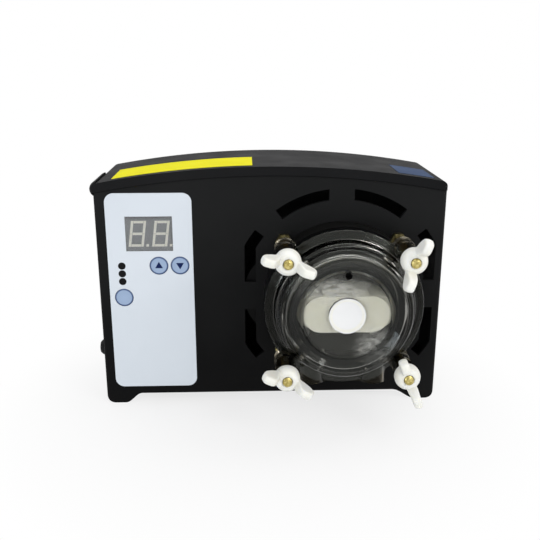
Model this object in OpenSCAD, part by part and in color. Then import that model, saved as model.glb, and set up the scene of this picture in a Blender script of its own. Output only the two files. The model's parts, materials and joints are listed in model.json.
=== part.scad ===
// Wall or bench mounted peristaltic dosing pump: a black moulded housing with a keypad and
// a two digit display on the left, and a roller head under a clear cover on the right.
// Most modules are written in the front panel's frame: x from the middle of the housing,
// y from the panel's face into the housing, z up from the feet.

/* [Housing] */
// Width of the housing across its flat sides
body_w = 188.2; // [180:1:210]
// Height of the hood at the middle of its arch
body_h = 135.5; // [130:1:150]
// Depth from the panel's face to the back of the wall plate
body_d = 64; // [62:1:90]
// Rise of the arched hood between its two corners
arch_rise = 8.2; // [5:0.5:12]
// Wall of the front shell and the hood
wall = 2.8; // [2:0.2:3.4]
// Radius of the hood's upper corners
hood_corner_r = 4; // [2:0.5:6]
// Radius of the upright edges beside the panel
edge_r = 2; // [1:0.25:2.5]
// Height of the hood's lip above the panel
lip_h = 4.8; // [3:0.2:6]
// How far the hood's lip stands in front of the panel
lip_proud = 1; // [0.5:0.1:2]
// How far the hood's finger bead stands out on the left side
bead_proud = 2.1; // [1.5:0.1:3]
// Length of the finger bead from the hood's lip
bead_len = 35; // [25:1:50]
// Distance of the yellow strip from the housing's left side
strip_in = 9.6; // [6:0.2:12]
// Length of the yellow strip
strip_len = 74.5; // [60:0.5:90]
// Width of the yellow strip
strip_w = 29.5; // [20:0.5:40]
// Distance of the small sticker from the housing's right side
sticker_in = 6.5; // [6:0.5:12]
// Length of the small sticker
sticker_len = 19.5; // [15:0.5:30]
// Width of the small sticker
sticker_w = 27; // [20:0.5:40]
// Distance of both stickers behind the panel's face
sticker_y = 4; // [1:0.5:10]
// Thickness of both stickers
sticker_t = 0.15; // [0.1:0.05:0.3]

/* [Feet] */
// Height of the feet below the floor of the shell
foot_h = 5.8; // [4:0.2:8]
// Width of a foot's flat, including its rounded outer corner
foot_w = 11; // [9:0.5:16]
// Length of the ramp from the left foot up to the floor
foot_ramp_left = 9; // [6:0.5:16]
// Length of the ramp from the right foot up to the floor
foot_ramp_right = 13; // [6:0.5:20]
// Radius of the foot's outer corner
foot_r = 5; // [2:0.5:6]

/* [Pump head] */
// Distance of the pump head's axis from the middle of the housing
head_x = 37.6; // [36:0.2:40]
// Height of the pump head's axis above the feet
head_z = 64; // [62:0.5:66]
// Radius of the cover's flange and of the base under it
flange_r = 42.2; // [41:0.2:44]
// Height of the head base in front of the panel
base_h = 13.5; // [13:0.5:15]
// Thickness of the cover's flange
flange_t = 8.5; // [7:0.5:10]
// Radius of the cover's drum where it leaves the flange
drum_r = 38; // [37:0.5:40]
// Radius of the cover's drum at its front shoulder
shoulder_r = 34; // [33.5:0.25:35]
// Distance of the drum's shoulder in front of the panel
shoulder_h = 33; // [32.6:0.2:34]
// Radius of the raised ring on the cover's face
ring_r = 31.4; // [31:0.1:32.5]
// Distance of the raised ring's crest in front of the panel
ring_h = 35.6; // [35:0.2:37]
// Radius of the flat window in the cover's face
window_r = 22.6; // [20:0.2:25]
// Thickness of the cover's window
window_t = 3; // [2:0.25:3.5]
// Radius of the raceway that the tube is squeezed against
raceway_r = 31.5; // [31.2:0.1:32]
// Radius of the vent hole in the window
window_hole_r = 1.9; // [1:0.1:2.2]
// Radius of the two tube ports on the underside of the cover
port_r = 7.2; // [6.8:0.1:8]
// Distance of each tube port from the head's axis
port_x = 16.7; // [16:0.1:17.5]
// How far the ports reach below the head's axis
port_drop = 40.8; // [40:0.2:44]

/* [Rotor] */
// Thickness of each of the rotor's two cheeks
cheek_t = 3; // [2.5:0.25:4]
// Half length of the rotor's cheeks
cheek_reach = 22.5; // [21.5:0.25:25.5]
// Height of the rotor's cheeks and its middle block
rotor_h = 19.5; // [18.5:0.25:20]
// Width of the rotor's middle block, which is hollowed round the rollers
block_w = 24; // [18:0.5:25]
// Distance between the cheeks' outer faces
rotor_d = 25; // [24:0.25:25.2]
// Radius of the journal that turns in the cover
journal_r = 9.43; // [8:0.05:9.6]
// Radius of a roller
roller_r = 9; // [8.5:0.1:9.2]
// Distance of a roller's axis from the rotor's axis
roller_at = 17; // [16.5:0.1:17]
// Radius of a roller's steel pin
roller_pin_r = 2; // [1.5:0.1:2.5]

/* [Squeeze tube] */
// Outer radius of the relaxed tube
tube_r = 5.5; // [5:0.1:5.6]
// Half width of the tube where it is pressed flat
pressed_w = 6.8; // [6:0.1:7]
// Angle below the horizontal at which the tube leaves the raceway
leave_angle = 45; // [40:1:50]
// Radius of the bend between the raceway and the port
leave_bend_r = 12.4; // [10:0.2:14]
// Length of the nipple in each end of the tube
nipple_len = 9; // [7:0.5:9.5]
// Radius of the passage through a nipple
nipple_bore_r = 2.4; // [1.5:0.1:3]

/* [Studs and wing nuts] */
// Half of the distance between two neighbouring studs
stud_at = 31; // [30.8:0.1:32]
// Outer radius of the stud's thread
stud_r = 2.41; // [2:0.05:2.6]
// Distance of the stud's tip in front of the panel
stud_tip = 46.5; // [45.5:0.5:50]
// Radius of the cover's ear round each stud
ear_r = 5.6; // [5:0.1:6.2]
// Distance of the ear's face in front of the panel
ear_h = 38.3; // [36.5:0.1:39.5]
// Radius of a wing nut's hub where it presses on the ear
nut_r = 6.7; // [6:0.1:7.2]
// Length of a wing nut's hub
nut_len = 6.8; // [6:0.1:8]
// Height of a wing nut over its wings
nut_h = 15.2; // [13:0.1:16.5]
// Half span of a wing nut
nut_span = 14.2; // [12.5:0.1:16]
// Half width of a wing
nut_wing_r = 3.6; // [2.8:0.1:3.8]
// Thickness of a wing nut's wing
nut_wing_t = 3.8; // [2.5:0.1:4.5]
// Across corners radius of the hex nuts on the studs
hex_r = 4.6; // [4.2:0.1:5.4]
// Thickness of the hex nuts on the studs
hex_t = 3; // [2.4:0.2:3.6]

/* [Vents] */
// Outer radius of the ring of vents
vent_r = 59.5; // [58.5:0.25:60]
// Width of a vent
vent_w = 6.1; // [4:0.1:7]
// Half width between the outer straight sides of the ring
vent_half_w = 52.2; // [50:0.2:53]
// Width of the bar at the top of the ring
vent_top_bar = 13.5; // [8:0.5:18]
// Height of the bars at the sides of the ring
vent_side_bar = 16; // [10:0.5:20]
// Angle at which the side vents end above and below the horizontal
vent_side_angle = 38.8; // [35:0.2:42]
// Angle at which the top vents begin above the horizontal
vent_top_angle = 53.5; // [50:0.5:58]

/* [Control panel] */
// Width of the printed overlay
overlay_w = 45.9; // [44:0.5:47]
// Gap between the overlay's top and the panel's top edge above its left side
overlay_top_gap = 0.9; // [0.6:0.1:8]
// Corner radius of the overlay
overlay_r = 5; // [2:0.5:8]
// Thickness of the overlay
overlay_t = 0.5; // [0.3:0.05:1]
// Distance from the housing's left side to the overlay
overlay_gap = 5.8; // [4.5:0.1:6.4]
// Height of the overlay's lower edge above the feet
overlay_z = 10.4; // [9:0.1:11]
// Width of the display's face
display_w = 25.1; // [24:0.1:26]
// Height of the display's face
display_h = 19.05; // [18:0.05:20]
// Depth of the display module
display_d = 8.2; // [7.8:0.1:9]
// Distance from the overlay's left edge to the display
display_x = 10.2; // [9.5:0.1:11]
// Distance from the overlay's top to the top of the display
display_drop = 12.6; // [11:0.1:14]
// Height of a digit on the display
digit_h = 14.2; // [12:0.1:15]
// Width of a digit
digit_w = 8.1; // [6.5:0.1:8.4]
// Width of a digit's bars
stroke = 1.35; // [1:0.05:1.8]
// Angle at which the digits lean
digit_lean = 8; // [0:1:12]
// Radius of an indicator window
indicator_r = 2; // [1.25:0.05:2.1]
// Distance from the overlay's top to the first lamp
indicator_drop = 39.9; // [39:0.1:42]
// Distance from one lamp to the next
indicator_pitch = 4.4; // [4.3:0.1:5]
// Distance from the overlay's left edge to the lamps
indicator_in = 7.3; // [5:0.1:8]
// Radius of a button
button_r = 4.9; // [4.2:0.05:4.9]
// Distance from the overlay's top to the up and down buttons
arrow_drop = 39.9; // [39:0.1:41]
// Distance from the overlay's left edge to the up button
arrow_in = 27.3; // [24:0.1:27.5]
// Distance between the up and down buttons
arrow_pitch = 11.4; // [11:0.1:12]
// Distance from the overlay's top to the mode button
mode_drop = 57.9; // [57:0.1:70]
// Distance from the overlay's left edge to the mode button
mode_in = 7.6; // [7:0.1:12]
// Travel of a button
button_travel = 0.6; // [0.3:0.05:0.6]

/* [Circuit board] */
// Thickness of the circuit board
board_t = 1.6; // [1.2:0.1:2.4]
// Distance of the board's lower edge above the overlay's
board_rise = 13.5; // [12:0.5:20]
// Distance of the board's upper edge below the overlay's
board_drop = 10.4; // [9:0.2:11]
// Side of a switch's square body
switch_side = 6; // [5:0.5:7]
// Height of a switch with its plunger
switch_h = 2; // [1.6:0.1:2.2]
// Width of the transformer
core_w = 30; // [24:1:34]
// Height of the transformer
core_h = 36; // [30:1:40]
// Depth of the transformer
core_d = 22; // [16:1:30]
// Width of the iron round the winding
core_limb = 4; // [3:0.5:5]
// Width of the terminal block
terminal_w = 20; // [15:1:24]
// Height of the terminal block
terminal_h = 8; // [7:0.5:10]
// Depth of the terminal block
terminal_d = 10; // [8:0.5:14]
// Radius of a capacitor
capacitor_r = 5; // [4:0.25:5.5]
// Length of a capacitor
capacitor_len = 16; // [12:1:25]
// Gap between the parts on the board
part_gap = 1; // [0.6:0.1:2]

/* [Gearmotor] */
// Gear module of both stages
gear_m = 0.75; // [0.7:0.01:0.76]
// Teeth on each pinion
pinion_n = 12; // [12:1:14]
// Teeth on each wheel
wheel_n = 60; // [50:2:60]
// Face width of a wheel
wheel_t = 4; // [3:0.25:4.4]
// Radius of the output shaft
shaft_r = 4; // [3.5:0.1:4.4]
// Wall of the gearbox
gearbox_wall = 2.2; // [2:0.1:2.4]
// Radius of the motor
motor_r = 24; // [20:0.5:24.5]
// Length of the motor
motor_len = 26; // [20:1:30]

/* [Cord gland] */
// How far the gland's nose stands out of the left side
gland_proud = 5.4; // [4:0.2:10]
// Outer radius of the gland's nose
gland_r = 5.2; // [4.8:0.1:6]
// Radius of the passage for the cord
gland_bore_r = 3.1; // [2.5:0.1:3.3]
// Depth of the gland's axis behind the panel's face
gland_y = 20; // [19:0.5:22]
// Height of the gland's axis above the feet
gland_z = 26.4; // [24:0.2:34]

/* [Wall plate] */
// Thickness of the wall plate at the back
plate_t = 2.5; // [2:0.1:3.2]
// Distance between the wall screws across the plate
wall_screws_x = 150; // [140:1:156]
// Distance between the wall screws up the plate
wall_screws_z = 96; // [92:1:98]
// Radius of the wall screws' holes
wall_hole_r = 2.6; // [2:0.1:3]

/* [Clearances] */
// Radial clearance of a turning fit
fit = 0.05; // [0.03:0.01:0.08]
// Clearance round what slides or is laid in by hand
slack = 0.3; // [0.25:0.05:0.4]
// Seam between two shells
seam = 0.3; // [0.15:0.05:0.5]

/* [Hidden] */
$fn = 64;

// The housing's outline
half_w = body_w / 2;
arch_half = half_w - 2.6;
arch_r = (arch_half * arch_half + arch_rise * arch_rise) / (2 * arch_rise);
arch_z = body_h - arch_r;
lip_r = arch_r - lip_h;
shell_r = lip_r - seam;
side_z = arch_z + sqrt(shell_r * shell_r - half_w * half_w);
plate_y = body_d - plate_t;
lip_t = wall + 1;
gland_flange = 1.6;
gland_dome_y = gland_proud - sqrt(gland_r * gland_r - gland_bore_r * gland_bore_r);
gland_nut_t = 3.5;
rim_t = 1.4;
rim_lap = 2.6;
bead_r = 4.4;
inner_half = half_w - wall;
floor_z = foot_h + wall;
screw_hole_r = 1.25;
screw_r = 1.2;
boss_r = 4;
boss_len = 20;
plate_head_r = 2.4;
plate_head_t = 1.4;
boss_x = half_w - wall - boss_r - 2;
low_boss_z = floor_z + boss_r + 0.5;
high_boss_z = side_z - boss_r - 6;

// The control panel
overlay_x = -half_w + overlay_gap;
panel_top = arch_z + sqrt(shell_r * shell_r - overlay_x * overlay_x);
overlay_top = panel_top - overlay_top_gap;
overlay_h = overlay_top - overlay_z;
display_x0 = overlay_x + display_x;
digit_in = 1.3;
segment_gap = 0.15;
display_z0 = overlay_top - display_drop - display_h;
indicator_x = overlay_x + indicator_in;
indicator_z = [for (i = [0:2]) overlay_top - indicator_drop - i * indicator_pitch];
up_pos = [overlay_x + arrow_in, overlay_top - arrow_drop];
down_pos = [overlay_x + arrow_in + arrow_pitch, overlay_top - arrow_drop];
mode_pos = [overlay_x + mode_in, overlay_top - mode_drop];
board_y = display_d + 0.2;
board_x0 = overlay_x + 0.6;
board_w = overlay_w - 1.8;
board_z0 = overlay_z + board_rise;
board_z1 = overlay_top - board_drop;
board_hole_in = 3.6;
cap_flange_t = 1.2;
cap_flange_r = button_r + 0.6;
button_hole_r = button_r + 0.2;

// The pump head, as distances in front of the panel
window_h = shoulder_h + 1;
chamber_h = window_h - window_t;
window_hole_z = window_r - 1.1;
base_floor = 4.5;
rotor_rear = chamber_h - slack - rotor_d;
tube_h = rotor_rear + rotor_d / 2;
tube_in = roller_at + roller_r + slack;
tube_out = raceway_r - slack;
tube_mid = (tube_in + tube_out) / 2;
roller_len = rotor_d - 2 * cheek_t - 0.6;
base_screw_at = 19.8;
base_screw_r = 1.75;
screw_head_r = 3.1;
ear_hole_r = stud_r + slack;
stud_chamfer = 0.5;
nut_dome_r = 3;
cheek_end = cheek_reach - rotor_h / 2;
pocket = 2 * slack;
port_bore_r = tube_r + slack;
nipple_top = port_drop - nipple_len;

// The gearmotor, as depths behind the panel's face
gear_gap = gear_m * (pinion_n + wheel_n) / 2;
wheel_or = gear_m * (wheel_n / 2 + 0.9);
case_r = wheel_or + 0.5 + gearbox_wall;
lid_screw_at = case_r + 1.6;
case_y0 = wall;
stage1_y = case_y0 + gearbox_wall + 1.5;
stage2_y = stage1_y + wheel_t + 1.6;
case_y1 = stage2_y + wheel_t + 3;
lid_y1 = case_y1 + gearbox_wall;
case_ear = base_screw_at + 5.5;
motor_shaft_r = 1.5;
idler_pin_r = 1.5;

// The whole part stands with its origin under the middle of its own envelope
origin_x = (gland_proud) / 2;
origin_y = -(body_d - max(stud_tip, ear_h + nut_h)) / 2;

// ---------- Shared shapes ----------

// Puts a piece from the panel's frame into the part's own frame.
module placed() {
    translate([origin_x, origin_y, 0]) children();
}

module at_head() {
    translate([head_x, 0, head_z]) children();
}

// A flat shape in x and z, made solid from y0 to y1.
module slab(y0, y1) {
    translate([0, y1, 0]) rotate([90, 0, 0]) linear_extrude(y1 - y0) children();
}

// A round bar along y.
module rod(r, y0, y1) {
    translate([0, y0, 0]) rotate([-90, 0, 0]) cylinder(r = r, h = y1 - y0);
}

// A profile of [radius, distance in front of the panel], turned round the y axis.
module turned(profile) {
    rotate([90, 0, 0]) rotate_extrude($fn = 128) polygon(profile);
}

module block(x0, x1, y0, y1, z0, z1) {
    translate([x0, y0, z0]) cube([x1 - x0, y1 - y0, z1 - z0]);
}

// A rectangle with round corners, from its lower left corner.
module rounded_rect(w, h, r) {
    translate([r, 0]) square([w - 2 * r, h]);
    translate([0, r]) square([w, h - 2 * r]);
    for (x = [r, w - r], z = [r, h - r]) translate([x, z]) circle(r);
}

// A straight bar with round ends between two points.
module bar_shape(a, b, r) {
    run = b - a;
    side = r * [-run[1], run[0]] / norm(run);
    polygon([a + side, a - side, b - side, b + side]);
    translate(a) circle(r);
    translate(b) circle(r);
}

function arc(centre, r, from, to, steps) =
    [for (i = [0:steps]) let (a = from + (to - from) * i / steps)
        centre + r * [cos(a), sin(a)]];

module at_four(x, z) {
    for (i = [-1, 1], j = [-1, 1]) translate([i * x, 0, j * z]) children();
}

module at_studs() {
    at_head() at_four(stud_at, stud_at) children();
}

// ---------- Housing ----------

// The arch of radius r seen from the front, from its left end to its right at half width w.
function arch_points(r, w, steps) =
    [for (i = [0:steps]) let (a = asin(w / r) * (2 * i / steps - 1))
        [r * sin(a), arch_z + r * cos(a)]];

// The foot's outer corner, its flat and the ramp up to the floor; s is -1 on the left.
function foot_points(s, ramp) = concat(
    [for (p = arc([half_w - foot_r, foot_r], foot_r, 0, -90, 6)) [s * p[0], p[1]]],
    [for (i = [0:6]) let (t = i / 6)
        [s * (half_w - foot_w - ramp * t), foot_h * (3 * t * t - 2 * t * t * t)]]);

function reversed(points) = [for (i = [len(points) - 1:-1:0]) points[i]];

// Front view of the shell below the hood.
module shell_outline() {
    polygon(concat(arch_points(shell_r, half_w, 40),
        foot_points(1, foot_ramp_right), reversed(foot_points(-1, foot_ramp_left))));
}

// Plan of the housing behind depth y0, with its two upright front edges rounded.
module plan_outline(y0) {
    polygon(concat(
        arc([-half_w + edge_r, y0 + edge_r], edge_r, 180, 270, 6),
        arc([half_w - edge_r, y0 + edge_r], edge_r, 270, 360, 6),
        [[half_w, plate_y], [-half_w, plate_y]]));
}

module vents() {
    difference() {
        intersection() {
            circle(vent_r);
            square([2 * vent_half_w, 3 * vent_r], center = true);
        }
        intersection() {
            circle(vent_r - vent_w);
            square([2 * (vent_half_w - vent_w), 3 * vent_r], center = true);
        }
        translate([-vent_top_bar / 2, 0]) square([vent_top_bar, 2 * vent_r]);
        translate([-2 * vent_r, -vent_side_bar / 2]) square([4 * vent_r, vent_side_bar]);
        for (s = [-1, 1]) polygon([[0, 0],
            2 * vent_r * [s * cos(vent_side_angle), sin(vent_side_angle)],
            2 * vent_r * [s * cos(vent_top_angle), sin(vent_top_angle)]]);
        polygon([[0, 0],
            3 * vent_r * [cos(vent_side_angle), -sin(vent_side_angle)],
            3 * vent_r * [-cos(vent_side_angle), -sin(vent_side_angle)]]);
    }
}

// The shell's outside between two depths.
module shell_body(y0, y1) {
    intersection() {
        slab(y0, y1) shell_outline();
        linear_extrude(2 * body_h) plan_outline(0);
    }
}

module front_panel() {
    color([0.1, 0.1, 0.1]) placed() difference() {
        union() {
            shell_body(0, wall);
            board_posts(2.6, wall - 0.5, board_y);
        }
        board_posts(screw_hole_r, board_y - 4, body_d);
        at_head() slab(-1, wall + 1) vents();
        at_head() rod(shaft_r + 2.6, -1, wall + 1);
        at_studs() rod(stud_r + fit, -1, wall + 1);
        at_head() at_four(base_screw_at, base_screw_at) rod(base_screw_r + fit, -1, wall + 1);
        block(display_x0 - slack, display_x0 + display_w + slack, -1, wall + 1,
            display_z0 - slack, display_z0 + display_h + slack);
        for (p = [up_pos, down_pos, mode_pos]) translate([p[0], 0, p[1]])
            rod(button_hole_r, -1, wall + 1);
        for (z = indicator_z) translate([indicator_x, 0, z])
            rod(indicator_r + fit, -1, wall + 1);
    }
}

// The floor and the two sides, with the feet under them.
module housing_tray() {
    color([0.1, 0.1, 0.1]) placed() difference() {
        union() {
            difference() {
                shell_body(wall, plate_y);
                block(-inner_half, inner_half, 0, body_d, floor_z, 2 * body_h);
            }
            for (s = [-1, 1]) translate([s * boss_x, 0, low_boss_z])
                rod(boss_r, plate_y - boss_len, plate_y);
            for (s = [-1, 1]) block(s * boss_x - 1.2, s * boss_x + 1.2, plate_y - boss_len,
                plate_y, foot_h + 1, low_boss_z - boss_r + 0.5);
        }
        for (s = [-1, 1]) translate([s * boss_x, 0, low_boss_z])
            rod(screw_hole_r, plate_y - 14, body_d);
        translate([-half_w - 1, gland_y, gland_z]) rotate([0, 90, 0])
            cylinder(r = gland_r + 1 + fit, h = wall + 2);
    }
}

module board_posts(r, y0, y1) {
    for (x = [board_x0 + board_hole_in, board_x0 + board_w - board_hole_in],
         z = [board_z0 + board_hole_in, board_z1 - board_hole_in])
        translate([x, 0, z]) rod(r, y0, y1);
}

// The hood's arch seen from the front, with its rounded corners, from left to right.
corner_z = arch_z + sqrt(pow(arch_r - hood_corner_r, 2) - pow(half_w - hood_corner_r, 2));
corner_lean = asin((half_w - hood_corner_r) / (arch_r - hood_corner_r));
hood_top = concat(
    arc([-half_w + hood_corner_r, corner_z], hood_corner_r, 180, 90 + corner_lean, 6),
    [for (i = [1:39]) let (a = 90 + corner_lean * (1 - i / 20))
        [arch_r * cos(a), arch_z + arch_r * sin(a)]],
    arc([half_w - hood_corner_r, corner_z], hood_corner_r, 90 - corner_lean, 0, 6));

module hood_outline() {
    polygon(concat(hood_top, reversed(arch_points(lip_r, half_w, 40))));
}

// What is hollow inside the hood, behind its lip.
module hood_hollow() {
    polygon(concat(arch_points(arch_r - wall, inner_half, 40),
        [[inner_half, 0], [-inner_half, 0]]));
}

// Height of the hood's inner face at distance x from the middle.
function hood_inner_z(x) = arch_z + sqrt(pow(arch_r - wall, 2) - x * x);

// Front view of the rim under the hood that laps inside the panel, w its half width.
module rim_outline(w) {
    polygon(concat(arch_points(arch_r - wall / 2, w, 40),
        reversed(arch_points(lip_r - rim_lap, w, 40))));
}

module hood() {
    color([0.12, 0.12, 0.12]) placed() difference() {
        union() {
            difference() {
                intersection() {
                    slab(-lip_proud, plate_y) hood_outline();
                    linear_extrude(2 * body_h) plan_outline(-lip_proud);
                }
                slab(lip_t, body_d) hood_hollow();
            }
            slab(wall + slack, wall + slack + rim_t) rim_outline(inner_half - slack);
            for (s = [-1, 1]) {
                block(s * (inner_half - slack - rim_t / 2) - rim_t / 2,
                    s * (inner_half - slack - rim_t / 2) + rim_t / 2,
                    wall + slack, plate_y, side_z - rim_lap, hood_inner_z(inner_half) + 0.5);
                translate([s * boss_x, 0, high_boss_z]) rod(boss_r, plate_y - boss_len, plate_y);
                block(s * boss_x - 1.2, s * boss_x + 1.2, plate_y - boss_len, plate_y,
                    high_boss_z + boss_r - 0.5, hood_inner_z(boss_x) + 0.5);
            }
            difference() {
                translate([-half_w + bead_r - bead_proud, 0, side_z + seam + 1.5]) {
                    rod(bead_r, bead_r - lip_proud, bead_len - bead_r);
                    for (y = [bead_r - lip_proud, bead_len - bead_r])
                        translate([0, y, 0]) sphere(bead_r);
                }
                block(-half_w + wall / 2, half_w, -body_d, 2 * body_d, 0, 2 * body_h);
                block(-half_w - slack, half_w, -body_d, 2 * body_d, 0, side_z + seam);
            }
        }
        for (s = [-1, 1]) translate([s * boss_x, 0, high_boss_z])
            rod(screw_hole_r, plate_y - 14, body_d);
    }
}

module wall_plate() {
    color([0.14, 0.14, 0.14]) placed() difference() {
        slab(plate_y, body_d) polygon(concat(hood_top, [[half_w, foot_h], [-half_w, foot_h]]));
        for (s = [-1, 1], z = [low_boss_z, high_boss_z]) translate([s * boss_x, 0, z])
            rod(screw_r + slack, plate_y - 1, body_d + 1);
        for (s = [-1, 1], z = [low_boss_z, high_boss_z]) translate([s * boss_x, 0, z])
            rod(plate_head_r + slack, body_d - plate_head_t - 0.1, body_d + 1);
        translate([0, 0, head_z]) at_four(wall_screws_x / 2, wall_screws_z / 2)
            rod(wall_hole_r, plate_y - 1, body_d + 1);
        for (i = [-4:4]) translate([head_x + 9 * i, 0, head_z])
            slab(plate_y - 1, body_d + 1) bar_shape([0, -14], [0, 14], 1.6);
    }
}

// A countersunk or pan headed screw along y, its head towards the front at y0.
module screw(r, head_r, head_t, y0, length, slot = 0.9) {
    difference() {
        union() {
            rod(head_r, y0, y0 + head_t);
            rod(r, y0 + head_t - 0.01, y0 + head_t + length);
        }
        block(-head_r, head_r, y0 - 1, y0 + head_t * 0.45, -slot / 2, slot / 2);
    }
}

module shell_screws() {
    color([0.75, 0.75, 0.77]) placed()
        for (s = [-1, 1], z = [low_boss_z, high_boss_z]) translate([s * boss_x, body_d - 0.1, z])
            rotate([0, 0, 180]) screw(screw_r, plate_head_r, plate_head_t, 0, 12);
}

module cord_gland() {
    color([0.08, 0.08, 0.08]) placed() translate([-half_w, gland_y, gland_z])
        rotate([0, -90, 0]) rotate_extrude() polygon(concat(
            [[gland_bore_r, -wall - 7], [gland_r + 1, -wall - 7], [gland_r + 1, 0],
             [gland_r + gland_flange, 0], [gland_r + gland_flange, 0.6], [gland_r, 1]],
            arc([0, gland_dome_y], gland_r, 0, acos(gland_bore_r / gland_r), 8)));
}

module gland_nut() {
    color([0.16, 0.16, 0.16]) placed() translate([-inner_half, gland_y, gland_z])
        rotate([0, 90, 0]) difference() {
            cylinder(r = gland_r + 2.4 * gland_flange, h = gland_nut_t, $fn = 6);
            translate([0, 0, -1]) cylinder(r = gland_r + 1 + fit, h = gland_nut_t + 2);
        }
}

// A thin label laid on the hood's arch, from x0 to x1.
module hood_label(x0, x1, width) {
    r = arch_r + 0.02;
    slab(sticker_y, sticker_y + width) polygon(concat(
        arc([0, arch_z], r + sticker_t, 90 - asin(x0 / r), 90 - asin(x1 / r), 20),
        arc([0, arch_z], r, 90 - asin(x1 / r), 90 - asin(x0 / r), 20)));
}

module colour_strip() {
    color([0.9, 0.83, 0.1]) placed()
        hood_label(-half_w + strip_in, -half_w + strip_in + strip_len, strip_w);
}

module small_sticker() {
    color([0.16, 0.2, 0.36]) placed()
        hood_label(half_w - sticker_in - sticker_len, half_w - sticker_in, sticker_w);
}

// ---------- Control panel ----------

module overlay() {
    color([0.83, 0.86, 0.9]) placed() difference() {
        translate([overlay_x, 0, overlay_z])
            slab(-overlay_t, 0) rounded_rect(overlay_w, overlay_h, overlay_r);
        block(display_x0, display_x0 + display_w, -2, 1, display_z0, display_z0 + display_h);
        for (p = [up_pos, down_pos, mode_pos]) translate([p[0], 0, p[1]])
            rod(button_hole_r, -2, 1);
        for (z = indicator_z) translate([indicator_x, 0, z]) rod(indicator_r + fit, -2, 1);
    }
}

module display_window() {
    color([0.8, 0.85, 0.9, 0.3]) placed()
        block(display_x0 + fit, display_x0 + display_w - fit, -overlay_t, -0.1,
            display_z0 + fit, display_z0 + display_h - fit);
}

module display_module() {
    color([0.45, 0.46, 0.47]) placed()
        block(display_x0, display_x0 + display_w, 0.2, board_y,
            display_z0, display_z0 + display_h);
}

// One digit of seven slanted bars and its point, from its lower left corner.
module digit() {
    half = (digit_h - stroke) / 2;
    lean = tan(digit_lean);
    multmatrix([[1, lean, 0, 0], [0, 1, 0, 0], [0, 0, 1, 0]]) {
        for (k = [0:2]) translate([stroke + segment_gap, k * half])
            square([digit_w - 2 * (stroke + segment_gap), stroke]);
        for (x = [0, digit_w - stroke], k = [0, 1])
            translate([x, k * (half + segment_gap / 2 + stroke / 2)])
                square([stroke, half + stroke / 2 - segment_gap / 2]);
        translate([digit_w + stroke, 0]) square([stroke, stroke]);
    }
}

module display_segments() {
    margin = (display_h - digit_h) / 2;
    color([0.85, 0.85, 0.78]) placed()
        for (i = [0, 1])
            translate([display_x0 + digit_in + i * display_w / 2, 0, display_z0 + margin])
            slab(0.05, 0.2) digit();
}

module indicator_windows() {
    color([0.05, 0.05, 0.06]) placed()
        for (z = indicator_z) translate([indicator_x, 0, z]) rod(indicator_r, -overlay_t, 1.2);
}

module indicator_lamps() {
    color([0.7, 0.1, 0.1]) placed()
        for (z = indicator_z) translate([indicator_x, 0, z]) {
            rod(1.5, 3, board_y);
            translate([0, 3, 0]) rotate([90, 0, 0]) rotate_extrude()
                polygon(concat([[0, 0]], arc([0, 0], 1.5, 0, 90, 6)));
        }
}

// A round key with a retaining flange behind the panel and a plunger on its switch.
module button_cap(pos) {
    tip_y = board_y - switch_h - button_travel - 0.1;
    color([0.6, 0.7, 0.82]) placed() translate([pos[0], 0, pos[1]]) {
        rod(button_r, -overlay_t, wall + 0.1);
        rod(cap_flange_r, wall + 0.1, wall + 0.1 + cap_flange_t);
        rod(1.5, wall + cap_flange_t, tip_y);
    }
}

module up_button() {
    button_cap(up_pos);
}

module down_button() {
    button_cap(down_pos);
}

module mode_button() {
    button_cap(mode_pos);
}

module key_switches() {
    color([0.2, 0.2, 0.22]) placed()
        for (p = [up_pos, down_pos, mode_pos]) translate([p[0], 0, p[1]]) {
            block(-switch_side / 2, switch_side / 2, board_y - 0.7 * switch_h, board_y,
                -switch_side / 2, switch_side / 2);
            rod(0.28 * switch_side, board_y - switch_h, board_y - 0.7 * switch_h);
        }
}

module control_board() {
    color([0.1, 0.35, 0.2]) placed() difference() {
        block(board_x0, board_x0 + board_w, board_y, board_y + board_t, board_z0, board_z1);
        board_posts(screw_r + slack, board_y - 1, board_y + board_t + 1);
    }
}

module board_screws() {
    color([0.75, 0.75, 0.77]) placed()
        for (x = [board_x0 + board_hole_in, board_x0 + board_w - board_hole_in],
             z = [board_z0 + board_hole_in, board_z1 - board_hole_in])
            translate([x, board_y + board_t + 1.6, z]) rotate([0, 0, 180])
                screw(screw_r, 2.4, 1.6, 0, board_t + 3.5);
}

// An iron frame with its winding between the limbs.
module transformer() {
    y0 = board_y + board_t;
    w = core_w / 2;
    h = core_h / 2;
    color([0.35, 0.33, 0.3]) placed()
        translate([board_x0 + board_w / 2, 0, board_z0 + h + 2.2 * board_hole_in]) {
            difference() {
                block(-w, w, y0, y0 + core_d, -h, h);
                block(-w + core_limb, w - core_limb, y0 - 1, y0 + core_d + 1,
                    -h + core_limb, h - core_limb);
            }
            block(-w, w, y0, y0 + core_d, -h / 3, h / 3);
        }
}

module terminal_block() {
    y0 = board_y + board_t;
    pitch = terminal_w / 4;
    color([0.15, 0.45, 0.25]) placed()
        translate([board_x0 + board_w - terminal_w - 2 * board_hole_in, 0,
            board_z1 - 2 * (board_hole_in + part_gap + capacitor_r) - terminal_h]) difference() {
                block(0, terminal_w, y0, y0 + terminal_d, 0, terminal_h);
                for (i = [0:3]) translate([(i + 0.5) * pitch, 0, terminal_h / 2])
                    rod(pitch * 0.32, y0 + terminal_d * 0.6, y0 + terminal_d + 1);
            }
}

module capacitors() {
    y0 = board_y + board_t;
    color([0.12, 0.14, 0.3]) placed() for (i = [0, 1])
        translate([board_x0 + 2.8 * board_hole_in + 2.6 * capacitor_r * i, 0,
            board_z1 - 2 * board_hole_in - capacitor_r - part_gap])
                rod(capacitor_r, y0, y0 + capacitor_len);
}

// ---------- Pump head ----------

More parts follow.
